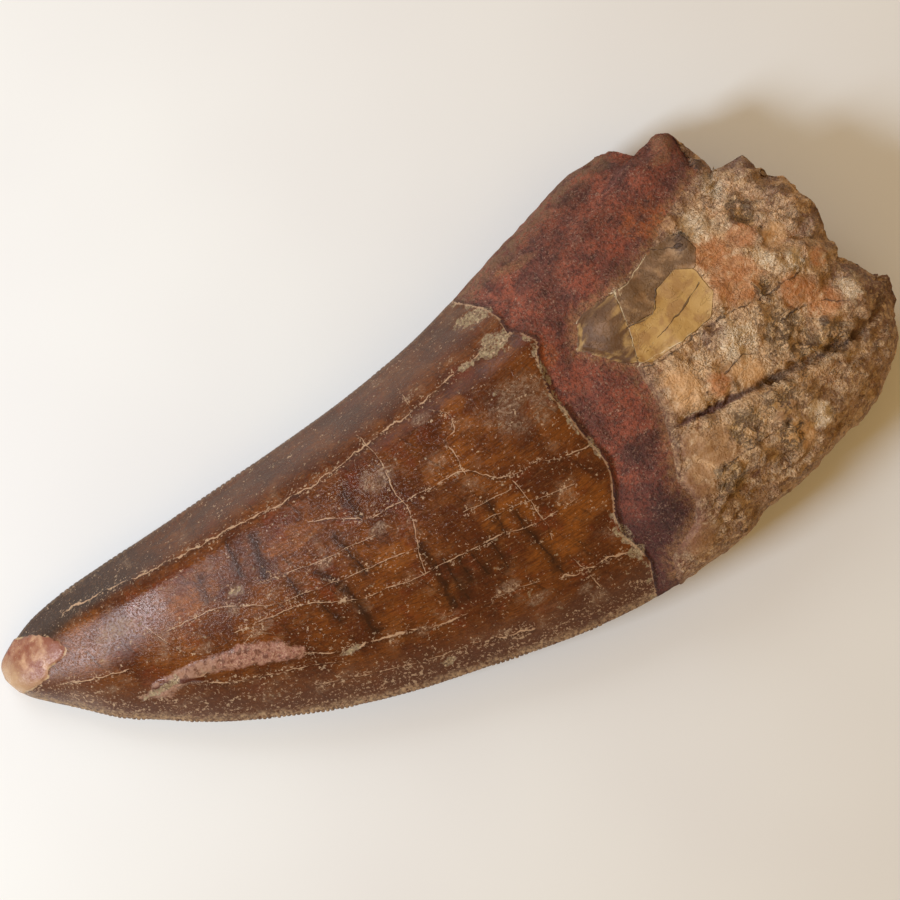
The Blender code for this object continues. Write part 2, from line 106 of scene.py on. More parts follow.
# cracks in the enamel, and in the bone's waxy plates: width share and points
cracks = dict(
    along=[(1.5, [(-37.6, 7.2), (-32.3, 6.8), (-28.3, 6.3), (-22.8, 6.0), (-18.5, 5.9), (-13.8, 5.6),
            (-9.4, 5.75), (-5.1, 6.3), (-2.4, 6.6), (0.1, 6.9), (3.1, 7.4), (5.1, 7.8), (7.2, 8.2),
            (8.6, 8.6)]),
        (1.0, [(-12.6, 2.8), (-10.0, 1.7), (-7.9, 0.4), (-5.7, 0.4), (-2.2, 0.1), (1.5, 0.0), (2.9, -1.2),
            (4.0, -2.3), (5.8, -2.6), (7.9, -2.7), (9.5, -3.4), (12.1, -3.7)]),
        (0.6, [(-19.5, 0.3), (-17.1, -0.1), (-12.9, -0.8), (-11.5, -0.8), (-8.5, -1.1)]),
        (0.8, [(-29.0, 0.8), (-26.1, 0.5), (-24.3, 0.3), (-21.6, -0.9), (-19.4, -2.1), (-16.7, -2.4),
            (-13.1, -3.1), (-10.7, -3.4), (-7.7, -3.7), (-5.7, -4.0)]),
        (0.8, [(-23.6, -2.5), (-19.8, -2.9), (-17.1, -3.4), (-12.2, -5.5), (-10.1, -5.8), (-7.5, -6.3),
            (-3.1, -6.5), (2.0, -6.8), (4.2, -7.3), (7.4, -7.4), (9.2, -7.3)]),
        (0.6, [(0.1, -3.3), (2.5, -3.5), (4.1, -3.6)]),
        (0.7, [(1.4, -4.9), (4.3, -5.1), (5.8, -5.5), (7.6, -5.8), (9.2, -6.0)]),
        (1.6, [(-19.6, -7.4), (-16.1, -8.9), (-13.4, -9.5), (-11.4, -10.0), (-9.5, -10.6), (-7.0, -11.3),
            (-5.0, -11.6)]),
        (1.8, [(-5.2, -14.4), (-3.5, -15.0), (-1.6, -15.5), (-0.2, -15.9)]),
        (1.8, [(4.6, -12.9), (6.7, -13.5), (8.8, -13.6), (10.8, -14.0)]),
        (0.6, [(-1.6, -11.5), (0.5, -11.8), (2.2, -12.2)]),
        (0.5, [(-19.8, -10.6), (-14.9, -12.2), (-11.5, -13.2), (-9.0, -13.8), (-6.6, -14.3)]),
        (0.9, [(-29.4, -5.1), (-26.2, -6.5), (-21.7, -8.0), (-19.1, -8.8), (-16.6, -9.9)]),
        (1.0, [(-40.2, 1.1), (-37.8, 0.3), (-35.9, -0.2), (-34.9, -0.5)]),
        (1.3, [(-34.9, -3.4), (-31.0, -4.1), (-27.4, -4.4), (-24.0, -4.5)])],
    across=[(0.9, [(-5.1, 7.2), (-4.5, 4.7), (-4.6, 3.1), (-4.8, 1.3), (-4.4, -0.3), (-4.6, -1.7),
            (-5.6, -4.7), (-5.9, -6.0)]),
        (0.8, [(5.0, -3.4), (5.3, -4.9), (5.5, -6.7), (5.7, -7.8), (5.5, -9.1)]),
        (1.0, [(2.3, 3.4), (1.6, 3.2), (1.6, 1.3), (1.6, -0.1)]),
        (0.6, [(0.2, 9.0), (0.3, 7.3)]),
        (0.7, [(1.9, 6.0), (3.0, 4.9), (2.9, 4.0)]),
        (0.6, [(-24.6, -5.0), (-24.0, -3.9), (-22.4, -3.4), (-20.9, -4.4)]),
        (0.6, [(-30.9, 1.9), (-29.6, -0.9), (-29.0, -1.8)]),
        (0.7, [(6.2, -12.0), (6.9, -14.2), (7.1, -15.6)])],
    wrinkle=[(1.6, [(-18.1, 4.3), (-18.5, 2.3), (-18.9, 0.7)]),
        (0.8, [(-20.4, 4.9), (-20.8, 2.0)]),
        (1.0, [(-11.5, 0.6), (-10.9, -2.3), (-10.8, -3.5)]),
        (2.0, [(-14.5, -1.5), (-13.4, -3.4), (-12.8, -5.7), (-12.7, -7.6), (-12.8, -8.8)]),
        (0.8, [(-17.2, -0.8), (-16.9, -2.3)]),
        (1.1, [(2.0, -3.7), (2.0, -5.5), (2.0, -6.5)]),
        (0.9, [(3.6, -5.5), (4.0, -8.0), (4.4, -10.2), (4.7, -12.3)]),
        (2.0, [(-5.1, -4.1), (-5.1, -6.5), (-5.2, -8.6), (-5.3, -10.2)]),
        (1.0, [(-4.0, -6.3), (-4.0, -8.7), (-3.9, -10.1)]),
        (1.2, [(-2.7, -6.9), (-2.8, -8.9)]),
        (0.8, [(-1.4, -7.2), (-1.1, -9.0)]),
        (0.7, [(-15.6, -4.4), (-15.0, -6.2)]),
        (0.6, [(0.6, -6.9), (0.7, -9.4)]),
        (0.6, [(-8.8, 3.4), (-8.6, 1.2)]),
        (0.6, [(-24.2, 3.6), (-24.6, 1.4)])],
    split=[(1.0, [(-33.2, -3.3), (-31.9, -3.4), (-30.5, -3.9), (-29.1, -4.6)])],
    palePlate=[(0.8, [(21.1, 7.0), (20.7, 3.7), (19.9, 0.4)]),
        # the flake's upper edge: a painted highlight where the raised edge catches the light
        (0.8, [(15.6, 4.0), (16.7, 6.1), (18.3, 7.1), (22.6, 7.2), (26.0, 8.8)]),
        (0.6, [(19.6, 0.3), (24.3, 0.2), (27.6, 0.7)]),
        (0.8, [(19.4, -6.6), (22.8, -5.6), (26.0, -6.2)])],
    darkPlate=[(0.8, [(28.7, 4.2), (25.8, 2.7), (22.5, 1.5), (21.4, 1.1)]),
        # under the flake: a painted shadow
        (1.2, [(20.4, -0.2), (22.5, -0.5), (25.8, 0.1), (29.8, 0.2), (33.6, 0.0), (36.6, 0.3)]),
        (0.8, [(24.7, 5.5), (23.3, 3.7), (20.9, 3.6)]),
        (1.4, [(25.3, 9.4), (26.9, 8.3), (28.3, 7.6)]),
        (0.8, [(26.0, -4.4), (28.4, -3.6), (30.2, -4.6)]),
        (1.0, [(33.4, -2.6), (36.4, -2.6), (39.0, -4.0)]),
        (0.8, [(22.0, -11.4), (26.4, -11.0), (30.6, -11.6)])])

# patches with an outline: spalled enamel, the worn tip and the three plates of the flake
outlines = dict(
    spall=[(-32.9, -2.9), (-31.5, -3.0), (-28.9, -3.0), (-26.6, -3.5), (-24.2, -3.9), (-22.2, -4.5),
        (-20.4, -5.5), (-19.4, -7.0), (-20.0, -7.5), (-22.6, -6.5), (-25.2, -5.5), (-27.3, -4.6),
        (-29.6, -4.3), (-32.7, -4.6), (-35.0, -3.6)],
    tip=[(-47.0, 9.0), (-43.8, 7.8), (-42.6, 7.0), (-41.2, 6.7), (-40.1, 5.9), (-39.0, 4.9), (-38.9, 3.9),
        (-39.6, 3.4), (-41.0, 3.3), (-41.8, 2.6), (-43.6, 2.3), (-47.0, 2.6)],
    flake=[(24.6, 5.4), (27.0, 6.2), (28.6, 5.3), (28.9, 2.6), (27.6, 0.7), (24.3, 0.2), (21.1, -0.1),
        (19.9, 0.4), (20.7, 3.7), (23.2, 3.6)],
    flakeDark=[(21.1, 7.0), (22.6, 7.2), (26.0, 8.8), (28.7, 8.9), (29.7, 6.8), (28.6, 5.3), (27.0, 6.2),
        (24.6, 5.4), (23.3, 3.7), (20.7, 3.7)],
    flakeLeft=[(16.7, 6.1), (18.3, 7.1), (21.1, 7.0), (20.7, 3.7), (19.9, 0.4), (18.5, 1.4), (15.5, 3.1),
        (15.6, 4.3)])

# soft round patches: centre, and half-length along and across, or a radius
stains = dict(
    scuffAndHighlight=[((-0.1, 1.9), 1.6, 1.4), ((9.0, 2.4), 5.0, 3.6), ((-7.7, -0.8), 1.4, 1.0),
        ((-13.6, -1.0), 1.4, 0.9), ((-0.4, -11.3), 1.8, 0.9), ((1.6, -13.6), 2.0, 0.8),
        ((5.8, -15.0), 1.2, 0.6), ((0.5, 5.8), 1.4, 0.8), ((-8.9, -11.0), 1.3, 0.7),
        ((-22.5, -3.4), 1.5, 0.7), ((-21.9, 0.8), 1.2, 0.8), ((-23.0, -0.6), 1.1, 0.8),
        ((-5.4, 3.2), 3.0, 1.6), ((-27.3, -2.4), 1.3, 0.8), ((-21.4, -3.3), 1.7, 0.8),
        # the last patch, near the tip, is a painted highlight
        ((-33.6, 3.2), 3.2, 1.3)],
    amber=[((9.4, -7.6), 3.4, 3.0), ((0.6, 1.0), 3.6, 2.0), ((-7.5, -3.8), 3.4, 1.8),
        ((3.4, -5.6), 4.0, 2.2), ((-15.0, 2.4), 4.0, 1.6), ((5.8, -10.2), 4.0, 1.8),
        ((3.6, 5.4), 2.0, 1.2), ((-26.0, 2.0), 4.0, 1.6), ((-36.4, 5.4), 3.4, 1.2)],
    crust=[((9.5, 8.4), 1.9, 1.5), ((9.2, 11.6), 2.6, 0.9), ((6.6, 8.0), 1.6, 0.4),
        ((11.4, -12.6), 0.8, 1.6), ((11.6, -14.4), 1.2, 0.7), ((-15.6, -9.2), 1.3, 0.35),
        ((-32.8, -3.6), 3.0, 0.5), ((12.2, 4.0), 0.5, 1.6), ((12.0, 0.4), 0.35, 2.4),
        ((12.8, -4.2), 0.4, 1.8), ((-8.4, -14.8), 0.9, 0.6), ((-22.0, 0.9), 0.8, 0.3)],
    smoothBone=[((22.4, -9.6), 2.6), ((19.6, -11.4), 2.2), ((16.9, -15.8), 2.4), ((20.6, -8.4), 1.8),
        ((29.4, -9.6), 1.6), ((26.6, -4.4), 1.2)],
    orange=[((31.1, 2.6), 3.4), ((30.5, 5.6), 2.4), ((33.8, 5.8), 1.8), ((35.7, -1.0), 2.3),
        ((37.4, -3.2), 2.2), ((25.2, -4.8), 1.5), ((30.4, 12.4), 1.4), ((39.0, 0.6), 1.2)],
    cream=[((29.6, -12.4), 2.0), ((22.0, -3.6), 2.6), ((28.2, -5.2), 1.9), ((36.6, 4.4), 1.6),
        ((28.6, 10.0), 1.2)],
    white=[((28.8, -2.2), 2.4), ((40.2, -3.2), 1.4), ((32.0, -11.6), 1.6), ((30.8, 8.6), 2.0),
        ((34.4, 3.0), 1.3), ((34.0, 11.0), 1.6), ((36.6, 1.6), 1.4)],
    olive=[((32.8, -3.4), 2.4), ((33.8, -6.0), 2.2), ((29.6, -8.4), 2.2), ((36.6, -6.4), 2.0),
        ((25.6, -9.4), 2.2), ((34.8, 7.8), 1.8), ((33.0, 0.9), 1.1), ((22.0, -12.6), 1.8),
        ((29.0, -12.0), 1.8)],
    plum=[((39.8, 3.6), 1.6), ((40.4, -1.8), 1.8), ((37.4, 11.2), 1.5), ((42.6, -4.3), 1.9),
        ((27.0, -0.9), 1.8), ((38.6, 7.4), 1.4), ((32.2, 13.4), 1.3)],
    pink=[((36.4, 6.6), 4.6), ((40.0, -3.0), 3.0), ((34.2, 9.6), 3.0), ((38.6, 2.6), 3.2)],
    blackSand=[((23.2, 16.6), 3.0, 1.5), ((26.6, 17.8), 1.8, 0.8), ((15.6, -12.4), 2.0, 3.0),
        ((16.8, -6.2), 3.4, 1.6)],
    dusty=[((32.3, 16.9), 1.5, 1.3), ((15.0, 13.8), 3.0, 0.7), ((31.4, 15.6), 1.8, 0.8)],
    pits=[((28.8, 7.8), 1.0), ((36.4, -4.6), 0.8), ((33.6, 13.4), 1.0)],
    orangeSand=[((27.0, 11.4), 3.0, 2.6), ((13.3, 5.1), 1.2, 1.6)])

# saw teeth: one pitch for each edge, in mm; on the photo both vary along the edge
saw = dict(
    frontPitch=0.46, rearPitch=0.56, frontDepth=0.14, rearDepth=0.07, start=0.07, frontEnd=0.63,
    rearEnd=0.68, fade=0.1, least=0.25, perTooth=7, reach=0.55, slit=0.28, uneven=0.7, slitDepth=0.12,
    worn=0.75, wearSize=2.8, seed=3, wornSpan=(-0.4, 0.5), brokenShare=0.05, brokenSize=0.1)

# mesh spacing
mesh = dict(
    crownColumns=236, bandColumns=30, boneColumns=100, rowsAbove=124, rowsBelow=76, underThin=2,
    breakRows=18, bandLeast=0.03, tipCrowding=1.12, edgeReach=0.8, skewLimit=0.008,
    edgeSteps=[0.8, 0.56, 0.38, 0.24, 0.11, 0.0], crossingFrom=0.3, crossingSteps=900, lips=(0.35, 0.7),
    rowCrowding=0.6, probe=0.002)

# surface relief in the mesh: noise size, height, and how far it is drawn out along the tooth
grit = dict(
    enamel=[(4.0, 0.035, 2.0), (1.1, 0.01, 3.0)],
    sand=[(1.7, 0.10, 1.0), (0.62, 0.05, 1.0), (0.36, 0.045, 1.0)],
    bone=[(2.3, 0.24, 1.7), (1.15, 0.20, 1.5), (0.6, 0.15, 1.3), (0.36, 0.11, 1.0)], pitSize=0.9,
    pitDepth=0.38, smoothShare=0.24, tipHollow=0.12, edgeShare=0.35,
    crevices=[(1.7, 0.34, 1.8, 0.16), (1.1, 0.2, 5.0, 0.18)], plateRise=(0.10, 0.08),
    holeSpan=(0.35, 0.75),
    crustLip=[(-16.0, 0.7), (-13.0, 0.95), (-10.0, 0.65), (-7.0, 0.3), (-4.0, 0.25), (-2.0, 0.6),
        (0.0, 0.85), (3.0, 0.95), (6.0, 0.6), (9.0, 0.7), (13.0, 0.9)],
    spallDepth=0.22, spallRough=0.12, crustHeight=0.16, crackDepth=0.015, wrinkleDepth=0.012,
    splitDepth=0.25, tipRough=0.06, pitHoles=0.5, crackReach=0.16, splitReach=0.3, tipNoise=1.3,
    spallNoise=0.45, crustNoise=(0.9, 0.4), crustSpan=(-0.6, 0.3), crustUneven=(0.7, 0.5),
    lipUneven=(0.62, 0.75), lipNoise=2.2, lipPlace=-0.25, lipSpan=(0.1, 0.6), restSpan=(0.0, 0.35),
    breakRough=[(1.9, 0.55), (0.8, 0.3)])


def resample(points, positions):
    points = np.array(points, float)
    steps = np.hypot(*np.diff(points, axis=0).T)
    along = np.concatenate([[0.0], np.cumsum(steps)]) / steps.sum()
    return np.column_stack([np.interp(positions, along, points[:, 0]),
                            np.interp(positions, along, points[:, 1])])


def smoothCurve(points, steps=16):
    points = np.array(points, float)
    chord = np.concatenate([[0.0], np.cumsum(np.hypot(*np.diff(points, axis=0).T) ** 0.5)])
    slopes = np.gradient(points, chord, axis=0)
    curve = []
    for i in range(len(points) - 1):
        span = chord[i + 1] - chord[i]
        for u in np.linspace(0.0, 1.0, steps, endpoint=False):
            curve.append((2 * u ** 3 - 3 * u ** 2 + 1) * points[i]
                         + (u ** 3 - 2 * u ** 2 + u) * span * slopes[i]
                         + (3 * u ** 2 - 2 * u ** 3) * points[i + 1]
                         + (u ** 3 - u ** 2) * span * slopes[i + 1])
    curve.append(points[-1])
    return np.array(curve)


def smoothStep(value, low, high):
    share = np.clip((value - low) / (high - low), 0.0, 1.0)
    return share * share * (3.0 - 2.0 * share)


def smoothMin(a, b, radius):
    share = np.clip(0.5 + 0.5 * (b - a) / radius, 0.0, 1.0)
    return b + (a - b) * share - radius * share * (1.0 - share)


def atStation(name, s):
    return np.interp(s, form["stations"], form[name])


def lineX(line, y):
    ordered = sorted(line, key=lambda point: point[1])
    return np.interp(y, [point[1] for point in ordered], [point[0] for point in ordered])


def lineGap(line, x, y, far=1e3):
    # signed gap to an open line, positive on its left, and the plain gap
    signed, nearest = np.full(np.shape(x), far), np.full(np.shape(x), far)
    for (x0, y0), (x1, y1) in zip(line[:-1], line[1:]):
        dx, dy = x1 - x0, y1 - y0
        size = math.hypot(dx, dy)
        share = np.clip(((x - x0) * dx + (y - y0) * dy) / size ** 2, 0.0, 1.0)
        gap = np.hypot(x - x0 - share * dx, y - y0 - share * dy)
        across = (dx * (y - y0) - dy * (x - x0)) / size
        closer = gap < nearest
        signed = np.where(closer, across, signed)
        nearest = np.where(closer, gap, nearest)
    return signed, nearest


def pastLine(line, x, y):
    # how far past a line across the tooth, square to the line
    return np.copysign(lineGap(line, x, y)[1], x - lineX(line, y))


def outlineGap(outline, x, y):
    # gap to a closed outline, negative inside
    inside = np.zeros(np.shape(x), bool)
    ring = list(outline) + [outline[0]]
    for (x0, y0), (x1, y1) in zip(ring[:-1], ring[1:]):
        if y0 == y1:
            continue
        crosses = (y0 > y) != (y1 > y)
        inside ^= crosses & (x < (x1 - x0) * (y - y0) / (y1 - y0) + x0)
    gap = lineGap(ring, x, y)[1]
    return np.where(inside, -gap, gap)


def spots(places, x, y, fromShare=0.35, toShare=1.15):
    # soft round patches, 1 at their middles
    share = np.zeros(np.shape(x))
    for place in places:
        (cx, cy), along, across = place[0], place[1], place[-1]
        gap = np.sqrt(((x - cx) / along) ** 2 + ((y - cy) / across) ** 2)
        share = np.maximum(share, 1.0 - smoothStep(gap, fromShare, toShare))
    return share


def lattice2(ix, iy, seed):
    value = np.sin(ix * 12.9898 + iy * 78.233 + seed * 37.719) * 43.7585453
    return 2.0 * (value - np.floor(value)) - 1.0


def lumps2(x, y, size, seed):
    # the root's lumps, as in the solid
    u, v = x / size, y / size
    ix, iy = np.floor(u), np.floor(v)
    fu, fv = u - ix, v - iy
    fu, fv = fu * fu * (3 - 2 * fu), fv * fv * (3 - 2 * fv)
    low = lattice2(ix, iy, seed) * (1 - fu) + lattice2(ix + 1, iy, seed) * fu
    high = lattice2(ix, iy + 1, seed) * (1 - fu) + lattice2(ix + 1, iy + 1, seed) * fu
    return low * (1 - fv) + high * fv


def hashed(ix, iy, iz, seed):
    key = (ix * 374761393 + iy * 668265263 + iz * 1440662683 + seed * 974634777) & 0xffffffff
    key = ((key ^ (key >> 13)) * 1274126177) & 0xffffffff
    return (key ^ (key >> 16)) / 2147483648.0 - 1.0


def noise3(points, size, seed, drawn=1.0):
    # soft noise between -1 and 1, drawn out along the tooth; each use has its own seed
    place = points / size / np.array([drawn, 1.0, 1.0])
    cell = np.floor(place).astype(np.int64)
    f = place - cell
    f = f * f * f * (f * (f * 6 - 15) + 10)
    total = np.zeros(len(points))
    for corner in range(8):
        cx, cy, cz = corner & 1, corner >> 1 & 1, corner >> 2
        weight = (np.where(cx, f[:, 0], 1 - f[:, 0]) * np.where(cy, f[:, 1], 1 - f[:, 1])
                  * np.where(cz, f[:, 2], 1 - f[:, 2]))
        total += weight * hashed(cell[:, 0] + cx, cell[:, 1] + cy, cell[:, 2] + cz, seed)
    return total


rearCurve = smoothCurve(form["rearEdge"])
frontCurve = smoothCurve(form["frontEdge"])


def planPoint(s, t):
    # plan position at s along (0 tip, 1 break) and t across (-1 front edge, 1 rear edge)
    s, t = np.broadcast_arrays(s, t)
    across = (t + 1) / 2
    rear = resample(rearCurve, s.ravel()).reshape(s.shape + (2,))
    front = resample(frontCurve, s.ravel()).reshape(s.shape + (2,))
    point = front + (rear - front) * across[..., None]
    straight = frontCurve[-1] + (rearCurve[-1] - frontCurve[-1]) * across[..., None]
    jagged = resample(form["breakLine"][::-1], across.ravel()).reshape(s.shape + (2,))
    pull = smoothStep(s, 1.0 - form["breakRun"], 1.0)
    return point + (jagged - straight) * pull[..., None]


def blunt(s):
    return np.sqrt(1.0 - (1.0 - np.clip(s / form["bluntTip"], 0.0, 1.0)) ** 2)


def edgeHeight(s):
    still, rising = form["edgeRise"]
    return atStation("bulgeBelow", s) * (still + rising * blunt(s)) - form["restDepth"]


def width(s):
    return np.hypot(*np.moveaxis(planPoint(s, 1.0) - planPoint(s, -1.0), -1, 0))


def crossSection(s, t, x, y, bulge, crest):
    height = atStation(bulge, s)
    ahead = np.clip((crest - t) / (1.0 + crest), 0.0, None)
    behind = form["rearShoulder"] * np.clip((t - crest) / (1.0 - crest), 0.0, None)
    broad = height * (1.0 - np.where(t < crest, ahead, behind) ** form["broadPower"])
    facetRise = form["facetTop"] * height / atStation("ridgeInset", s)
    facet = facetRise * (1.0 - t) * width(s) / 2.0
    blade = np.maximum(smoothMin(broad, facet, atStation("ridgeRound", s)), 0.0)
    oval = height * np.sqrt(np.maximum(1.0 - np.abs(t) ** form["ovalPower"], 0.0))
    share = smoothStep(x - lineX(root["enamelEnd"], y), *form["rootBlend"])
    return (blade * (1.0 - share) + oval * share) * blunt(s)


def breakFall(s, x, y):
    gap = lineGap(form["breakLine"], x, y)[1]
    lip = 1.0 - smoothStep(gap, 0.0, form["breakLip"])
    return form["breakFall"] * lip * smoothStep(s, *form["fallStart"])


def grooveStart(line, x):
    # 0 before a groove's start, 1 where it has its full depth
    start = min(point[0] for point in line)
    return smoothStep(x, *(start + run for run in root["grooveRun"]))


def relief(t, x, y, above):
    inside = 1.0 - np.abs(t) ** form["fadePower"]
    pastEnamel = pastLine(root["enamelEnd"], x, y)
    rise = -root["enamelStep"] * smoothStep(pastEnamel, 0.0, root["stepWidth"])
    if above:
        pastBand = pastLine(root["boneStart"], x, y)
        less = (root["boneStep"] - root["rearBoneStep"]) * smoothStep(y, *root["rearStepSpan"])
        rise += (root["boneStep"] - less) * smoothStep(pastBand, 0.0, root["stepWidth"])
    for line, depth, halfWidth in root["grooves" if above else "underGrooves"]:
        depth = depth * grooveStart(line, x)
        rise -= depth * (1.0 - smoothStep(lineGap(line, x, y)[1], 0.0, halfWidth))
    for number, (size, height) in enumerate(root["lumps"]):
        seed = number + (0 if above else 5)
        rise += height * lumps2(x, y, size, seed) * smoothStep(pastEnamel, 0.0, root["lumpStart"])
    return rise * inside


def faceAt(s, t, above):
    s, t = np.broadcast_arrays(s, t)
    x, y = np.moveaxis(planPoint(s, t), -1, 0)
    bulge, crest = ("bulgeAbove", form["crestAbove"]) if above else ("bulgeBelow", form["crestBelow"])
    rise = crossSection(s, t, x, y, bulge, crest) + relief(t, x, y, above) * blunt(s)
    rise = np.maximum(rise - np.minimum(breakFall(s, x, y), form["breakThinnest"] * rise), 0.0)
    if not above:
        return np.stack([x, y, np.maximum(edgeHeight(s) - rise, 0.0)], axis=-1)
    tipX, tipY = form["frontEdge"][0]
    worn = form["wearStart"] + form["wearSlope"] * (x - tipX) - form["wearLean"] * (y - tipY)
    z = smoothMin(edgeHeight(s) + rise, np.maximum(worn, edgeHeight(s)), form["wearRound"])
    z = np.maximum(z, edgeHeight(s))
    return np.stack([x, y, z], axis=-1)


def crossing(line, t):
    # where a row of the mesh crosses a line
    s = np.linspace(mesh["crossingFrom"], 1.0 - mesh["bandLeast"], mesh["crossingSteps"])
    x, y = planPoint(s, t).T
    past = x - lineX(line, y)
    if not (past > 0).any():
        return s[-1]
    i = max(int(np.argmax(past > 0)), 1)
    return s[i - 1] + (s[i] - s[i - 1]) * past[i - 1] / (past[i - 1] - past[i])


def columns(t, thin=1):
    # places along one row; columns follow the enamel's end and the bone's start
    lip = root["stepWidth"] / form["length"]
    enamel = min(crossing(root["enamelEnd"], t), 1.0 - 3 * mesh["bandLeast"])
    bone = max(crossing(root["boneStart"], t), enamel + mesh["bandLeast"])
    crown = enamel * np.linspace(0.0, 1.0, mesh["crownColumns"] // thin) ** mesh["tipCrowding"]
    lips = np.array(mesh["lips"])
    band = np.linspace(enamel + lip, bone, mesh["bandColumns"] // thin)
    rest = np.linspace(bone + lip, 1.0, mesh["boneColumns"] // thin)
    return np.concatenate([crown, enamel + lip * lips, band, bone + lip * lips, rest])


def rowPlaces(count):
    # rows across the tooth, crowded towards both edges
    crowded = np.sin(np.linspace(-np.pi / 2, np.pi / 2, count)) * mesh["rowCrowding"]
    return crowded + np.linspace(-1.0, 1.0, count) * (1.0 - mesh["rowCrowding"])


def insetT(s, t, inset):
    # t moved in from the edge by a length in millimetres
    return t * (1.0 - 2.0 * inset / np.maximum(width(s), 2.2 * inset))


class Shell:
    # vertices and triangles of the tooth while it is put together
    def __init__(self):
        self.points, self.faces, self.side, self.flow = [], [], [], []

    def addRow(self, points, side, s, t):
        first = len(self.points)
        s, t = np.broadcast_arrays(s, t)
        self.points.extend(tuple(point) for point in points)
        self.side.extend([side] * len(points))
        self.flow.extend(zip(s * form["length"], t * width(s) / 2.0, [point[2] for point in points]))
        return list(range(first, first + len(points)))

    def zipRows(self, rowA, atA, rowB, atB, flip):
        i = j = 0
        while i < len(rowA) - 1 or j < len(rowB) - 1:
            stepA = j == len(rowB) - 1 or (i < len(rowA) - 1 and atA[i + 1] <= atB[j + 1])
            if stepA:
                corners = (rowA[i], rowA[i + 1], rowB[j])
                i += 1
            else:
                corners = (rowA[i], rowB[j + 1], rowB[j])
                j += 1
            if len(set(corners)) == 3:
                self.faces.append(corners[::-1] if flip else corners)


def sawProfile(t, thin=1):
    # places along one cutting edge and how far the saw teeth stand out there, from -1 to 1
    curve = rearCurve if t > 0 else frontCurve
    pitch, last = (saw[("rear" if t > 0 else "front") + name] for name in ("Pitch", "End"))
    first = saw["start"]
    length = np.hypot(*np.diff(curve, axis=0).T).sum()
    count = int((last - first) * length / pitch)
    chance = np.random.default_rng(saw["seed"] + (t > 0))
    places, heights = [], []
    along = np.column_stack([np.arange(count) * pitch, np.zeros(count), np.zeros(count)])
    wear = smoothStep(noise3(along, saw["wearSize"], 95), *saw["wornSpan"])
    for number in range(count):
        size = (1.0 - saw["uneven"] * chance.random() ** 2) * (1.0 - saw["worn"] * wear[number])
        if chance.random() < saw["brokenShare"]:
            size = saw["brokenSize"]
        for k in range(saw["perTooth"]):
            u = k / saw["perTooth"]
            s = first + (number + u) * (last - first) / count
            fade = min(1.0, saw["least"] + min(s - first, last - s) / saw["fade"])
            rounded = 1.0 - (2.0 * abs(u - 0.5 + saw["slit"] / 4)) ** 4 * 2.0
            places.append(s)
            heights.append(max(rounded, -1.0) * fade * size)
    plain = [s for s in columns(t, thin) if 0.0 < s < 1.0 and not first - 0.002 < s < last + 0.001]
    places, heights = np.array(places + plain), np.array(heights + [0.0] * len(plain))
    order = np.argsort(places)
    return places[order], heights[order]


def buildShell():
    shell = Shell()
    tip = shell.addRow(faceAt(np.zeros(1), 0.0, True), 1, np.zeros(1), 0.0)[0]
    grids = {}
    for above, rows, thin in ((True, mesh["rowsAbove"], 1), (False, mesh["rowsBelow"], mesh["underThin"])):
        grid, places = [], []
        for t in rowPlaces(rows):
            s = columns(t, thin)
            points = faceAt(s[1:], insetT(s[1:], t, mesh["edgeReach"]), above)
            grid.append([tip] + shell.addRow(points, 1 if above else 0, s[1:], t))
            places.append(s)
        order = np.arange(len(grid[0]))
        for number in range(rows - 1):
            skewed = np.abs(places[number] - places[number + 1]).max() > mesh["skewLimit"]
            at = places[number:number + 2] if skewed else [order, order]
            shell.zipRows(grid[number], at[0], grid[number + 1], at[1], above)
        grids[above] = (grid, places)
    corners = {}
    for t in (-1.0, 1.0):
        at, heights = sawProfile(t)
        depth = saw["rearDepth" if t > 0 else "frontDepth"]
        s = np.concatenate([at, [1.0]])
        out = np.concatenate([heights, [0.0]])
        step = mesh["probe"]
        along = planPoint(np.minimum(s + step, 1.0), t) - planPoint(s - step, t)
        along /= np.hypot(along[:, 0], along[:, 1])[:, None]
        outward = np.column_stack([-along[:, 1], along[:, 0]]) * t
        sAll = np.concatenate([[0.0], s])
        edge = None
        for above in (True, False):
            grid, places = grids[above]
            number = 0 if t < 0 else -1
            previous, previousAt = grid[number], places[number]
            lineEnds = [grid[number][-1]]
            flip = above if t < 0 else not above
            for inset in mesh["edgeSteps"][1:]:
                if inset == 0.0 and edge is not None:
                    row = edge
                else:
                    points = faceAt(s, insetT(s, t, inset), above)
                    reach = smoothStep(saw["reach"] - inset, 0.0, saw["reach"])
                    points[:, :2] += outward * (depth * out * reach)[:, None]
                    slit = np.clip(-out, 0.0, 1.0) * smoothStep(0.5 - inset, 0.0, 0.4) * saw["slitDepth"]
                    points[:, 2] += (edgeHeight(s) - points[:, 2]) * slit
                    row = [tip] + shell.addRow(points, 1 if above else 0, s, t)
                shell.zipRows(row, sAll, previous, previousAt, flip)
                previous, previousAt = row, sAll
                lineEnds.append(row[-1])
                if inset == 0.0:
                    edge = row
            corners[(t, above)] = lineEnds
    addBrokenEnd(shell, grids, corners)
    return shell


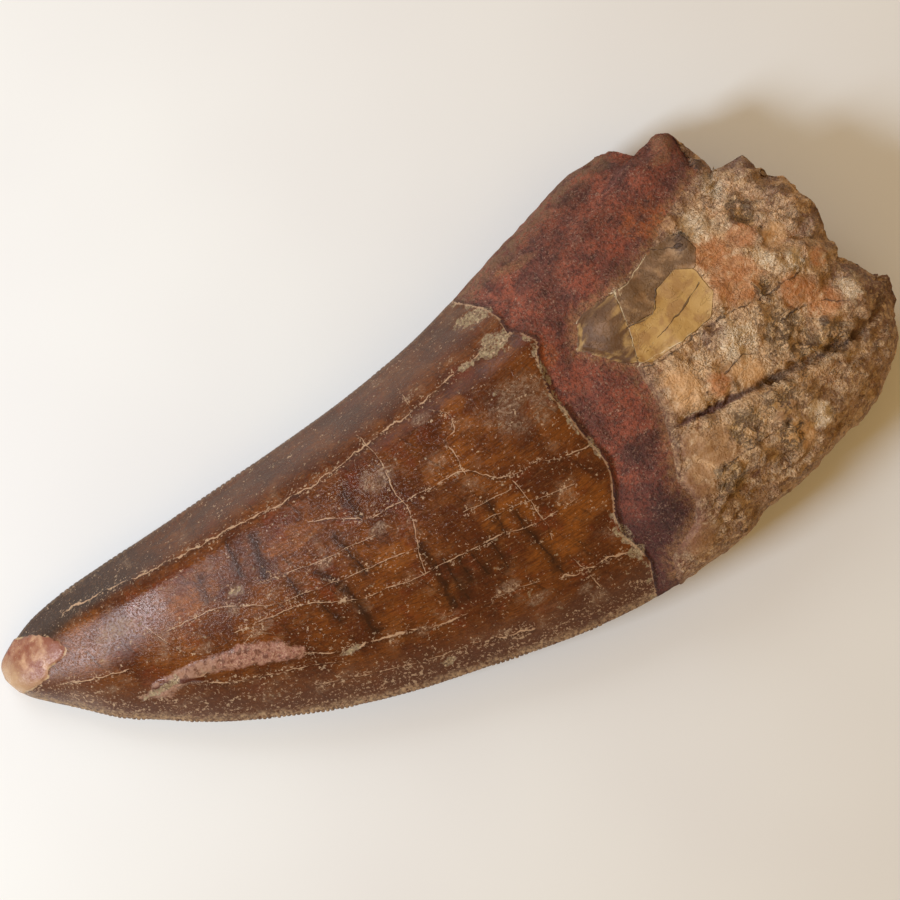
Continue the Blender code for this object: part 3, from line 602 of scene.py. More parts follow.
def addBrokenEnd(shell, grids, corners):
    # the rough broken face, hollowed where the pulp cavity was
    rims = {}
    for above in (True, False):
        middle = [row[-1] for row in grids[above][0]]
        rims[above] = corners[(-1.0, above)][::-1] + middle[1:-1] + corners[(1.0, above)]
    top, low = rims[True], rims[False]
    points = np.array([shell.points[i] for i in top])
    under = np.array([shell.points[i] for i in low])
    start, end = points[0, :2], points[-1, :2]
    run = (end - start) / np.hypot(*(end - start))
    outward = np.array([run[1], -run[0]])
    along = np.cumsum(np.concatenate([[0.0], np.hypot(*np.diff(points[:, :2], axis=0).T)]))
    alongLow = np.cumsum(np.concatenate([[0.0], np.hypot(*np.diff(under[:, :2], axis=0).T)]))
    along, alongLow = along / along[-1], alongLow / alongLow[-1]
    below = np.column_stack([np.interp(along, alongLow, under[:, axis]) for axis in range(3)])
    t = along * 2.0 - 1.0
    previous = top
    for number in range(1, mesh["breakRows"]):
        share = number / mesh["breakRows"]
        line = points * (1 - share) + below * share
        swell = np.sin(np.pi * share)
        hollow = np.exp(-(t / form["pulpWidth"]) ** 2) * swell * form["pulpDepth"]
        rough = sum(height * noise3(line, size, 21 + layer)
                    for layer, (size, height) in enumerate(grit["breakRough"]))
        line[:, :2] += outward * ((rough * swell - hollow) * (1 - t ** 8))[:, None]
        row = [top[0]] + shell.addRow(line[1:-1], 2, 1.0, t[1:-1]) + [top[-1]]
        shell.zipRows(previous, along, row, along, True)
        previous = row
    shell.zipRows(previous, along, low, alongLow, True)


def vertexNormals(points, faces):
    a, b, c = points[faces[:, 0]], points[faces[:, 1]], points[faces[:, 2]]
    flat = np.cross(b - a, c - a)
    normals = np.zeros_like(points)
    for corner in range(3):
        for axis in range(3):
            normals[:, axis] += np.bincount(faces[:, corner], flat[:, axis], len(points))
    return normals / np.maximum(np.linalg.norm(normals, axis=1), 1e-12)[:, None]


def featurePlace(points, side):
    # the underside carries the same kinds of marks, turned over and moved along
    middle = (np.interp(points[:, 0], rearCurve[:, 0], rearCurve[:, 1])
              + np.interp(points[:, 0], frontCurve[:, 0], frontCurve[:, 1]))
    along, across = root["turnedOver"]
    x = np.where(side == 0, points[:, 0] + along, points[:, 0])
    y = np.where(side == 0, middle - points[:, 1] + across, points[:, 1])
    return x, y


def nearestOf(lines, x, y, far=9.0):
    # one signed and one plain gap to the closest of several lines, the signed one in line widths
    signed, nearest = np.full(len(x), far), np.full(len(x), far)
    for size, line in lines:
        across, gap = lineGap(smoothCurve(line, 4) if len(line) > 2 else line, x, y)
        closer = gap < nearest
        signed = np.where(closer, across / size, signed)
        nearest = np.where(closer, gap, nearest)
    return signed, nearest


def surfaceMarks(points, side):
    # everything that the materials and the fine relief need to know about each vertex
    x, y = featurePlace(points, side)
    realX, realY, realZ = points.T
    marks = {}
    for name, lines in cracks.items():
        marks[name + "Gap"], marks[name + "Near"] = nearestOf(lines, x, y)
    for name, outline in outlines.items():
        marks[name + "Gap"] = outlineGap(outline, x, y)
    for name, places in stains.items():
        marks[name] = spots(places, x, y)
    for name, line in (("enamel", root["enamelEnd"]), ("bone", root["boneStart"])):
        marks[name + "Gap"] = pastLine(line, realX, realY)
    for name, line in (("front", frontCurve[::4]), ("rear", rearCurve[::4]), ("end", form["breakLine"])):
        marks[name + "Gap"] = lineGap(line, realX, realY)[1]
    for name in ("spallCream", "nearTip"):
        marks[name] = smoothStep(-x, *form[name])
    marks["grooveSand"] = 1.0 - smoothStep(x, *root["grooveSand"])
    # a lip of cemented sand of uneven width along the enamel's end
    even, uneven = grit["lipUneven"]
    amount = np.interp(realY, *zip(*grit["crustLip"]))
    amount = amount * (even + uneven * noise3(points, grit["lipNoise"], 91))
    away = smoothStep(np.abs(marks["enamelGap"] - grit["lipPlace"]), *grit["lipSpan"])
    marks["crust"] = np.maximum(marks["crust"], (1.0 - away) * amount)
    marks["grooves"] = np.zeros(len(points))
    for line, depth, halfWidth in root["grooves"]:
        gap = lineGap(line, realX, realY)[1]
        share = (1.0 - smoothStep(gap, 0.1, halfWidth * 0.8)) * min(depth, 1.0) * (side == 1)
        marks["grooves"] = np.maximum(marks["grooves"], share * grooveStart(line, realX))
    worn = form["wearStart"] + form["wearSlope"] * (realX - form["frontEdge"][0][0])
    marks["wornGap"] = np.where(side == 1, worn - realZ, 3.0)
    return marks


def roughen(points, normals, marks, side):
    # fine relief along the surface's own direction
    amount = np.zeros(len(points))
    onRoot = smoothStep(marks["enamelGap"], 0.0, 0.4)
    onBone = np.where(side == 2, 1.0, smoothStep(marks["boneGap"], 0.0, 0.6)) * onRoot
    edgeGap = np.minimum(marks["frontGap"], marks["rearGap"])
    offEdge = smoothStep(edgeGap, 0.1, 0.9)
    for number, (size, height, drawn) in enumerate(grit["enamel"]):
        amount += (1 - onRoot) * height * noise3(points, size, 31 + number, drawn) * offEdge
    for number, (size, height, drawn) in enumerate(grit["sand"]):
        amount += onRoot * (1 - onBone) * height * noise3(points, size, 41 + number, drawn)
    plates = np.minimum(np.minimum(marks["flakeGap"], marks["flakeDarkGap"]), marks["flakeLeftGap"])
    calm = np.maximum(np.maximum(marks["smoothBone"], marks["orange"] * 0.6), smoothStep(-plates, -0.1, 0.2))
    calm = np.maximum(calm, marks["cream"] * 0.6) * (1.0 - 0.8 * marks["olive"] * (plates > 0.0))
    nearEdge = 1.0 - smoothStep(marks["frontGap"], 0.3, 1.8)
    crumbly = onBone * (1.0 - (1.0 - grit["smoothShare"]) * calm)
    crumbly = crumbly * (1.0 - (1.0 - grit["edgeShare"]) * nearEdge)
    for number, (size, height, drawn) in enumerate(grit["bone"]):
        amount += crumbly * height * noise3(points, size, 51 + number, drawn)
    holes = smoothStep(noise3(points, grit["pitSize"], 61, 1.4), *grit["holeSpan"])
    amount -= crumbly * grit["pitDepth"] * holes
    for number, (size, depth, drawn, share) in enumerate(grit["crevices"]):
        amount -= crumbly * depth * smoothStep(-np.abs(noise3(points, size, 81 + number, drawn)), -share, 0.0)
    amount -= grit["pitHoles"] * marks["pits"] * onBone
    for gap, rise in zip((plates, marks["flakeGap"]), grit["plateRise"]):
        amount += rise * smoothStep(-gap, -0.1, 0.1) * onBone
    onEnamel = 1 - onRoot
    inTip = smoothStep(-marks["tipGap"], -0.05, 0.2) * onEnamel
    amount -= inTip * (grit["tipHollow"] + grit["tipRough"] * noise3(points, grit["tipNoise"], 74))
    amount -= onEnamel * grit["splitDepth"] * np.exp(-(marks["splitNear"] / grit["splitReach"]) ** 2)
    inSpall = smoothStep(-marks["spallGap"], -0.05, 0.25) * onEnamel
    amount += inSpall * (grit["spallRough"] * noise3(points, grit["spallNoise"], 71) - grit["spallDepth"])
    (broad, fine), (even, uneven) = grit["crustNoise"], grit["crustUneven"]
    crust = marks["crust"] * smoothStep(noise3(points, broad, 72), *grit["crustSpan"])
    amount += crust * grit["crustHeight"] * (even + uneven * noise3(points, fine, 73))
    for name, depth in (("along", "crackDepth"), ("across", "crackDepth"), ("wrinkle", "wrinkleDepth")):
        near = np.exp(-(marks[name + "Near"] / grit["crackReach"]) ** 2)
        amount -= onEnamel * grit[depth] * near * offEdge
    # the worn flat underneath stays flat
    resting = smoothStep(points[:, 2], *grit["restSpan"])
    return points + normals * (amount * resting)[:, None]


def linear(code):
    # an sRGB hex colour as linear values
    values = [int(code[i:i + 2], 16) / 255.0 for i in (0, 2, 4)]
    return tuple(v / 12.92 if v <= 0.04045 else ((v + 0.055) / 1.055) ** 2.4 for v in values) + (1.0,)


def add(tree, kind, links=None, output=0, **settings):
    # one node with its settings and links, and the output that is asked for
    made = tree.nodes.new("ShaderNode" + kind)
    for name, value in settings.items():
        setattr(made, name, value)
    for name, value in (links or {}).items():
        if isinstance(value, Output):
            tree.links.new(value.socket, made.inputs[name])
        else:
            made.inputs[name].default_value = value
    return Output(tree, made.outputs[output])


class Output:
    # a node's output; shares and heights join by * + - and abs, and | takes the larger
    def __init__(self, tree, socket):
        self.tree, self.socket = tree, socket

    def join(self, operation, first, second):
        return add(self.tree, "Math", {0: first, 1: second}, operation=operation)

    def __mul__(self, other):
        return self.join("MULTIPLY", self, other)

    def __add__(self, other):
        return self.join("ADD", self, other)

    def __or__(self, other):
        return self.join("MAXIMUM", self, other)

    def __rsub__(self, other):
        return self.join("SUBTRACT", other, self)

    def __sub__(self, other):
        return self.join("SUBTRACT", self, other)

    def __abs__(self):
        return self.join("ABSOLUTE", self, 0.0)


class Finish:
    # a material that is painted layer over layer, with its places in millimetres
    def __init__(self, name, look, **values):
        self.material = bpy.data.materials.new(name)
        self.material.use_nodes = True
        self.tree = self.material.node_tree
        self.shader = self.tree.nodes["Principled BSDF"]
        for socket, value in values.items():
            self.shader.inputs[socket.replace("_", " ")].default_value = value
        self.look = look
        raw = add(self.tree, "TexCoord", output=3)
        self.here = add(self.tree, "Mapping", {"Vector": raw, "Scale": (1.0 / mm,) * 3})

    def tone(self, base, colour, share):
        # one colour over another where share is 1; a name stands for a colour of the look
        base, colour = (linear(self.look[c]) if isinstance(c, str) else c for c in (base, colour))
        return add(self.tree, "Mix", {0: share, 6: base, 7: colour}, 2, data_type="RGBA")

    def paint(self, *layers):
        for colour, share in layers:
            self.colour = self.tone(self.colour, colour, share)

    def flow(self, along=1.0, across=1.0, lean=0.0):
        # millimetres along the curved tooth and across it, drawn out either way
        raw = add(self.tree, "Attribute", output=1, attribute_name="flow")
        turned = add(self.tree, "Mapping", {"Vector": raw, "Rotation": (0.0, 0.0, lean)})
        return add(self.tree, "Mapping", {"Vector": turned, "Scale": (1 / along, 1 / across, 1 / across)})

    def mark(self, name, low=0.0, high=1.0, size=1.0, wobble=0.0, where=None):
        # a surface mark as a share between two levels, its outline made ragged by a wobble
        value = add(self.tree, "Attribute", output=2, attribute_name=name)
        if wobble:
            value += self.stray(wobble, size, where, 0.6)
        return level(value, low, high)

    def hairline(self, name, width, wander, soft=0.5):
        # 1 on the crack: the wandering signed gap is small and the crack is really near
        gap = abs(add(self.tree, "Attribute", output=2, attribute_name=name + "Gap") + wander)
        line = add(self.tree, "MapRange", {0: gap, 1: width, 2: width * soft, 3: 0.0, 4: 1.0})
        return line * self.mark(name + "Near", 0.5, 0.35)

    def stray(self, reach, size=1.25, where=None, rough=0.5):
        # how far a line or an outline strays to either side
        noise = add(self.tree, "TexNoise", {"Vector": where or self.here, "Scale": 1.0 / size,
                                            "Detail": 4.0, "Roughness": rough})
        return add(self.tree, "MapRange", {0: noise, 1: 0.2, 2: 0.8, 3: -reach, 4: reach})

    def thickness(self, least, most):
        # a line's width, between two, along its way
        noise = add(self.tree, "TexNoise", {"Vector": self.here, "Scale": 0.9, "Detail": 4.0})
        return level(noise, 0.3, 0.75, least, most)

    def close(self, height=None, roughness=None):
        # join the colour, the fine relief and the roughness to the shader
        bump = None
        if height:
            bump = add(self.tree, "Bump", {"Strength": self.look["bump"], "Height": height,
                                            "Distance": self.look["bumpDepth"] * mm})
        for name, output in (("Base Color", self.colour), ("Normal", bump), ("Roughness", roughness)):
            if output:
                self.tree.links.new(output.socket, self.shader.inputs[name])
        return self.material


def level(value, low, high, start=0.0, stop=1.0):
    # the soft share of the way between two levels
    return add(value.tree, "MapRange", {0: value, 1: low, 2: high, 3: start, 4: stop},
               interpolation_type="SMOOTHSTEP")


def warped(where, size, push):
    # the same place pushed about, so that patches get ragged outlines
    tree = where.tree
    shove = add(tree, "TexNoise", {"Vector": where, "Scale": 1.0 / size, "Detail": 3.0}, 1)
    shove = add(tree, "VectorMath", {0: shove, 1: (0.5, 0.5, 0.5)}, operation="SUBTRACT")
    shove = add(tree, "VectorMath", {0: shove, "Scale": push}, operation="SCALE")
    return add(tree, "VectorMath", {0: where, 1: shove}, operation="ADD")


def grains(where, size, low, high, detail=2.0, rough=0.5):
    # noise patches of a size in millimetres, as a share between two levels
    value = add(where.tree, "TexNoise", {"Vector": where, "Scale": 1.0 / size, "Detail": detail,
                                         "Roughness": rough})
    return level(value, low, high)


def veins(where, size, width, detail=3.0):
    # thin winding lines where noise crosses its middle
    value = add(where.tree, "TexNoise", {"Vector": where, "Scale": 1.0 / size, "Detail": detail})
    return level(abs(value - 0.5), width, width * 0.2)


def dust(where, size, amount):
    # irregular grains and small clusters of them: more of a fine noise shows where amount is larger
    value = add(where.tree, "TexNoise", {"Vector": where, "Scale": 1.0 / size, "Detail": 2.0,
                                         "Roughness": 0.7})
    return level(value + amount, 0.69, 0.76)


def crystals(where, size):
    # a random tone for each crystal of about a size in millimetres
    cells = add(where.tree, "TexVoronoi", {"Vector": where, "Scale": 1.0 / size}, 1)
    return add(where.tree, "SeparateColor", {0: cells})


print("helpers ready")


# Fossil enamel: hydroxyapatite stained brown by iron, worn smooth and waxy.
# It gives a deep orange-brown satin with a fine grain along it, and pale sand in its cracks.
enamelLook = dict(
    deep="50200a", warm="7e4214", amber="98541a", red="742c12", scuffAndHighlight="a0866c", dark="281108",
    facet="4a362a", strip="4e3228", grey="332c28", film="96663e", crack="bf9a78", sand="b0906c",
    speck="c4a582", olive="77604a", spall="8f5a48", spallPale="c0987a", tip="8a5440", tipPale="c89c78",
    tipLine="c9a87c", crust="9c8866", pale="9a6f44", gloss="f2d8c8", roughness=0.18,
    bump=0.4, bumpDepth=0.08)


def makeEnamel():
    look = enamelLook
    enamel = Finish("waxy_fossil_enamel", look, Roughness=0.3, IOR=1.5, Specular_Tint=linear(look["gloss"]))
    here, mark, tone, hairline = enamel.here, enamel.mark, enamel.tone, enamel.hairline
    ragged, torn = warped(here, 2.0, 2.4), warped(here, 0.2, 0.26)
    fibre, across = enamel.flow(along=9.0), enamel.flow(across=7.0, lean=-0.2)
    # stain: broad blotches, then amber where the enamel is thin, then red-brown
    enamel.colour = tone("deep", "warm", grains(ragged, 5.0, 0.36, 0.62, 4.0, 0.6))
    # the enamel's own grain: lengthwise fibre, drawn at 0.13 mm so that it shows, and growth lines
    # across it
    hatch = grains(fibre, 0.13, 0.4, 0.66, 2.0)
    mottle = grains(here, 0.32, 0.34, 0.66, 5.0, 0.75)
    streak = grains(fibre, 0.5, 0.46, 0.74, 3.0)
    growth = grains(across, 0.34, 0.54, 0.74, 2.0) * grains(here, 4.0, 0.42, 0.6)
    enamel.paint(("amber", mark("amber", 0.35, 0.9, 2.0, 0.5) * 0.7),
                 ("amber", grains(ragged, 2.2, 0.56, 0.74) * 0.45),
                 ("red", grains(ragged, 3.1, 0.54, 0.7, 3.0) * 0.6),
                 ("dark", hatch * 0.48),
                 ("dark", (1.0 - mottle) * 0.34),
                 ("pale", grains(fibre, 0.2, 0.56, 0.8, 3.0) * 0.3),
                 ("deep", streak * 0.6),
                 ("dark", growth * 0.6))
    # the rear facet, greyer near the tip, partly a painted reflection of the bright room; and the front strip
    facet = mark("rearGap", 4.6, 1.0) * (grains(fibre, 0.6, 0.3, 0.7, 3.0) * 0.4 + 0.35)
    facet |= mark("rearGap", 3.6, 2.2) * mark("nearTip") * 0.9
    enamel.paint((tone("facet", "grey", mark("nearTip")), facet),
                 # painted shade: the front strip is partly darkened where it faces away from the light
                 ("strip", mark("frontGap", 5.2, 1.4, 2.0, 0.8) * 0.75))
    # greyish scuffs made of fine scratches, one of them near the tip a painted highlight, and a film of fine
    # dust
    scuffed = mark("scuffAndHighlight", 0.35, 1.25, 1.3, 0.6, ragged) | grains(ragged, 2.4, 0.56, 0.8) * 0.8
    scuffAndHighlight = scuffed * (grains(ragged, 0.3, 0.4, 0.7, 5.0, 0.8) * 0.75 + 0.08)
    film = grains(here, 0.22, 0.46, 0.74, 4.0, 0.75)
    enamel.paint(("scuffAndHighlight", scuffAndHighlight),
                 ("film", film * (grains(ragged, 2.4, 0.4, 0.7, 3.0) * 0.3 + 0.16)))
    # cracks: dark wrinkles across, each in a soft band of painted shade, and pale hairlines filled with dust,
    # each beside a painted shadow line
    wander = enamel.stray(0.2)
    wrinkle = hairline("wrinkle", 0.17, wander * 1.5, 0.3) * grains(torn, 0.8, 0.3, 0.52, 3.0)
    thick = enamel.thickness(0.012, 0.08)
    broken = grains(here, 1.1, 0.36, 0.5, 3.0)
    line = (hairline("along", thick, wander) | hairline("across", thick, wander)) * broken
    beside = wander + 0.11
    groove = (hairline("along", 0.12, beside) | hairline("across", 0.12, beside)) * 0.35
    # painted shade in a soft band along each wrinkle, and a painted shadow line beside each crack
    enamel.paint(("dark", mark("wrinkleNear", 1.0, 0.0, 0.7, 0.5) * 0.62), ("dark", wrinkle * 0.7),
                 ("dark", groove), ("crack", line * 0.9))
    # sand grains stuck to the enamel, 0.1 to 0.25 mm, thickest along the front edge and the cracks
    nearCrack = mark("alongNear", 0.8, 0.1) | mark("acrossNear", 0.7, 0.1)
    frontSand = mark("frontGap", 4.0, 0.8) * (streak * 0.6 + 0.3)
    density = (grains(here, 1.8, 0.4, 0.66, 3.0) * 0.05 + 0.02 + nearCrack * 0.07 + frontSand * 0.2
               + scuffAndHighlight * 0.08)
    dots = dust(here, 0.27, density) * 0.8 | dust(torn, 0.5, density * 0.6)
    enamel.paint((tone("crack", "speck", grains(here, 0.5, 0.4, 0.6)), dots * 0.7))
    # sand packed between the saw teeth
    edge = (mark("frontGap", 0.95, 0.2, 1.1, 0.45) * grains(torn, 0.5, 0.3, 0.52, 3.0)
            | mark("rearGap", 0.35, 0.1, 0.7, 0.1) * 0.2)
    sand = tone("olive", "sand", grains(here, 0.3, 0.38, 0.6, 3.0))
    enamel.paint((tone(sand, "strip", grains(here, 0.28, 0.56, 0.66) * 0.8), edge * 0.85))
    # spalled patch: cream sand at the tip's side, pinker at the root's side
    spall = mark("spallGap", 0.2, -0.15, 1.0, 0.5)
    pink = tone("spall", "spallPale", grains(torn, 0.14, 0.4, 0.7, 4.0, 0.7)
                | mark("spallCream", 0.2, 0.8, 1.0, 0.4) * 0.6)
    pink = tone(pink, "deep", grains(torn, 0.5, 0.5, 0.66, 3.0) * 0.75)
    enamel.paint((pink, spall * (1.0 - mark("spallCream") * 0.35)),
                 ("deep", hairline("split", 0.3, wander * 0.4)))
    # crust: cemented sand left on the enamel
    crust = mark("crust", 0.42, 0.7, 1.1, 0.8) * grains(here, 0.22, 0.34, 0.52, 4.0, 0.7)
    cement = tone("olive", "crust", grains(here, 0.35, 0.36, 0.58, 3.0))
    cement = tone(cement, "speck", grains(here, 0.2, 0.56, 0.66, 2.0))
    # the chipped end of the enamel shows as a thin pale line
    chip = mark("enamelGap", -0.2, -0.06, 0.8, 0.12) * broken * 0.6
    # the worn tip shows the dentine under the enamel
    dentine = tone("tip", "tipPale", grains(ragged, 2.2, 0.4, 0.7, 4.0, 0.6))
    dentine = tone(dentine, "red", mark("rearGap", 2.2, 0.3, 1.0, 0.7) * 0.5)
    dentine = tone(dentine, "tipLine", mark("frontGap", 3.0, 0.6, 1.0, 0.7) * 0.6)
    dentine = tone(dentine, "tipLine", dust(here, 0.3, 0.06) * 0.5)
    rim = mark("tipGap", 0.16, 0.06, 0.9, 0.22) * mark("tipGap", -0.12, -0.02, 0.9, 0.22)
    enamel.paint((cement, crust), ("crack", chip),
                 (dentine, mark("tipGap", 0.06, -0.06, 0.9, 0.22)),
                 ("tipLine", rim * (grains(here, 1.3, 0.44, 0.6) * 0.75)))
    matt = (crust | spall | edge | dots * 0.8 | scuffAndHighlight * 0.6) * 0.35
    waxy = grains(here, 0.8, 0.3, 0.8, 4.0) * 0.07 + mark("wornGap", 0.5, 0.1) * 0.12
    height = (film * 0.35 + hatch * -0.1 + mottle * 0.12 + growth * -0.12 + dust(here, 0.27, 0.07) * 0.7
              + (crust | spall) * grains(here, 0.25, 0.3, 0.7, 2.0) * 1.4)
    return enamel.close(height, waxy + matt + look["roughness"])


# Desert sandstone: fine quartz sand cemented red by iron oxide, rough as broken.
# It gives a matt red-brown with a 0.2 mm sparkle of paler and darker grains.
sandLook = dict(base="88462f", red="a05238", dark="3a1e18", grain="d8a88c", pale="b39a78",
                orange="b8622e", grey="8c6848", purple="64382f", maroon="4c1e18", pink="a86850",
                fade="b08052", bump=0.9, bumpDepth=0.13)


def makeSandstone():
    sand = Finish("red_desert_sandstone", sandLook, Roughness=0.85, IOR=1.54)
    here, mark = sand.here, sand.mark
    ragged = warped(here, 2.0, 2.0)
    lower = mark("frontGap", 13.0, 5.0, 2.0, 1.5)
    fine = grains(here, 0.22, 0.5, 0.68, 3.0, 0.7)
    darkFine = grains(here, 0.3, 0.5, 0.66, 3.0, 0.7)
    sprinkled = grains(ragged, 1.5, 0.42, 0.64, 3.0) * 0.4 + 0.3 + lower * -0.15
    sand.colour = sand.tone("base", "red", grains(ragged, 4.0, 0.38, 0.62, 3.0))
    sand.paint(("maroon", grains(warped(here, 1.0, 1.4), 1.7, 0.46, 0.64, 3.0) * 0.55),
               ("pink", grains(sand.flow(along=2.4), 0.8, 0.52, 0.7, 4.0, 0.65) * 0.4),
               ("orange", mark("orangeSand", 0.3, 0.9, 1.5, 0.5) * 0.75),
               ("purple", grains(ragged, 2.6, 0.44, 0.64, 3.0) * 0.65),
               ("dark", grains(here, 0.7, 0.5, 0.7, 3.0) * 0.5),
               ("maroon", lower * 0.85),
               ("dark", mark("blackSand", 0.3, 1.0, 1.2, 0.5) * 0.6),
               ("dark", darkFine * 0.5),
               ("grain", fine * sprinkled),
               ("grey", mark("rearGap", 2.4, 0.2, 1.4, 0.8) * grains(here, 0.6, 0.3, 0.6, 3.0) * 0.8),
               # painted shadow: darker next to the enamel's end, where its step shades the sand
               ("dark", mark("enamelGap", 0.5, 0.05) * 0.6))
    # towards the bone the sand thins out and the bone's colour comes through
    fade = mark("boneGap", -1.6, 0.3, 0.8, 0.9) * grains(here, 0.5, 0.3, 0.6, 4.0, 0.7)
    sand.paint(("fade", fade * 0.75),
               ("fade", mark("dusty", 0.25, 0.9, 1.0, 0.5) * (fine * 0.6 + 0.25)),
               ("pale", mark("crust", 0.4, 0.7, 0.9, 0.5) * grains(here, 0.25, 0.4, 0.56, 4.0, 0.7)))
    height = fine + darkFine * -1.0 + grains(here, 0.5, 0.2, 0.8, 4.0, 0.7) * 1.5
    return sand.close(height)


# Fossil root bone: porous dentine and cement replaced by calcite and stained ochre, broken by hand.
# It gives crumbly cream, ochre and orange crystals with dark holes, and a few smooth waxy flakes.
boneLook = dict(ochre="d2a06c", cream="f2c898", orange="c87a40", dark="4c3220", pale="f2cc98",
                white="fadcb4", brown="b0804c", pink="d8a486", smooth="96693e", tan="daa66e",
                shadedSlope="9a7250", yellow="c49a58", olive="745434", sandRed="6e3a28", shade="684428",
                left="54320f", tip="a27446", line="e2c79c", sand="74463a", rust="b06a38",
                plum="86604e", roughness=0.74, bump=0.9, bumpDepth=0.22)


def makeBone():
    bone = Finish("crumbly_fossil_bone", boneLook, Roughness=0.66, IOR=1.56)
    here, mark, tone, hairline = bone.here, bone.mark, bone.tone, bone.hairline
    ragged, torn, lumpy = warped(here, 1.8, 2.2), warped(here, 0.3, 0.5), warped(here, 0.9, 1.5)
    fibre = bone.flow(along=4.0)
    # painted shade: darker brown-grey on the front slope, which faces away from the light, with cream patches
    # only off it
    shadedSlope = mark("frontGap", 8.5, 3.5, 2.5, 1.5)
    bone.colour = tone("brown", "ochre", grains(ragged, 3.0, 0.36, 0.6, 4.0, 0.6))
    bone.paint(("pink", mark("pink", 0.3, 0.9, 1.6, 0.6) * 0.55),
               ("rust", grains(lumpy, 2.0, 0.52, 0.7, 4.0, 0.6) * 0.55),
               ("plum", grains(lumpy, 1.3, 0.54, 0.7, 4.0, 0.6) * 0.45),
               ("shadedSlope", shadedSlope * 0.65),
               ("cream", (1.0 - shadedSlope) * grains(lumpy, 1.6, 0.3, 0.6, 4.0, 0.6) * 0.5))
    # zones: waxy brown, orange, tan, purple-grey, mossy yellow
    white = mark("white", 0.1, 1.0, 1.1, 1.0, lumpy)
    mossy = mark("olive", 0.1, 0.8, 0.9, 0.5, lumpy)
    orange = tone("orange", "rust", grains(lumpy, 0.9, 0.4, 0.66, 4.0, 0.6))
    bone.paint(("smooth", mark("smoothBone", 0.25, 0.8, 1.3, 0.5) * 0.7),
               (orange, mark("orange", 0.15, 0.95, 1.2, 0.45, lumpy) * 0.75),
               ("tan", mark("cream", 0.2, 0.85, 1.2, 0.45, lumpy) * 0.8),
               ("plum", mark("plum", 0.2, 0.9, 0.9, 0.5, lumpy) * 0.75),
               ("yellow", mossy * grains(torn, 0.9, 0.4, 0.6, 4.0, 0.7) * 0.6))
    calm = 0.0
    for name, low, high, share in (("smoothBone", 0.25, 0.8, 0.75), ("orange", 0.15, 0.95, 0.6),
                                   ("cream", 0.2, 0.85, 0.65), ("flakeGap", 0.05, -0.05, 0.95),
                                   ("flakeDarkGap", 0.05, -0.05, 0.85), ("flakeLeftGap", 0.05, -0.05, 0.9)):
        calm = mark(name, low, high) * share | calm
    crumb = 1.0 - calm
    # crumbs: pale crystals standing out, of many tones, with painted sparkle highlights on them, and painted
    # shade in the holes between them
    crystal = grains(lumpy, 0.6, 0.5, 0.66, 5.0, 0.75) * crumb * (mark("pink", 0.1, 0.7) * 0.3 + 0.35)
    facet = crystals(warped(here, 0.5, 0.35), 0.6)
    grit = crystals(warped(here, 0.2, 0.15), 0.26)
    unbleached = crumb * (1.0 - white)
    sparkleHighlight = dust(torn, 0.32, white * 0.12 + mossy * 0.05) * crumb
    bone.paint(("cream", crystal * 0.75),
               ("cream", level(facet, 0.5, 1.0) * crumb * 0.55),
               ("shade", level(facet, 0.4, 0.0) * unbleached * 0.45),
               ("shade", level(grit, 0.36, 0.0) * unbleached * 0.4),
               ("pale", level(grit, 0.7, 1.0) * crumb * 0.4),
               ("white", white * grains(torn, 0.6, 0.3, 0.5, 4.0, 0.7) * 0.85),
               ("pale", sparkleHighlight * 0.7))
    # painted shade in the crevices and holes: a net of dark crevices in the mossy zones, few elsewhere
    net = (veins(warped(here, 0.5, 1.1), 1.3, 0.06, 4.0) | grains(torn, 0.8, 0.44, 0.32, 5.0, 0.75)) * mossy
    crevice = ((veins(ragged, 1.5, 0.02) | veins(fibre, 0.8, 0.016)) * grains(here, 1.6, 0.46, 0.64)
               * (crumb * 0.5 + 0.1))
    hollow = crevice | grains(ragged, 0.5, 0.38, 0.28, 4.0, 0.7) * crumb | net
    # sand from the band, and the broken rim, darker and purplish
    sandy = mark("boneGap", 2.2, 0.2, 0.8, 1.0) * (grains(torn, 0.4, 0.3, 0.6, 4.0, 0.7) * 0.7 + 0.3)
    rim = mark("endGap", 1.9, 0.2, 0.9, 1.0, lumpy) * grains(lumpy, 1.6, 0.4, 0.6, 4.0)
    # painted shade: the crevices and holes darkened
    bone.paint(("dark", hollow * 0.66), ("sandRed", sandy * 0.75), ("plum", rim * 0.8))
    # the cracked waxy flake: three plates of different brown
    yellow = tone("yellow", "tip", grains(ragged, 1.4, 0.42, 0.62, 3.0) * 0.6)
    olive = mark("flakeDarkGap", 0.05, -0.05, 0.8, 0.12) * (grains(ragged, 1.2, 0.3, 0.6) * 0.4 + 0.55)
    left = tone("left", "smooth", grains(ragged, 1.6, 0.5, 0.66, 3.0) * 0.35)
    left = tone(left, "yellow", mark("flakeLeftGap", -1.1, -0.4, 1.0, 0.5)
                * grains(fibre, 0.8, 0.4, 0.6) * 0.7)
    wander, thick = bone.stray(0.22), bone.thickness(0.03, 0.14)
    # pale lines on the plates' edges, on the flake's upper edge a painted highlight where the raised edge
    # catches the light; dark lines between the plates, under the flake a painted shadow
    pale = hairline("palePlate", thick, wander) * grains(here, 0.8, 0.36, 0.5, 3.0)
    darkLine = hairline("darkPlate", thick, wander) * grains(here, 1.0, 0.36, 0.5, 3.0)
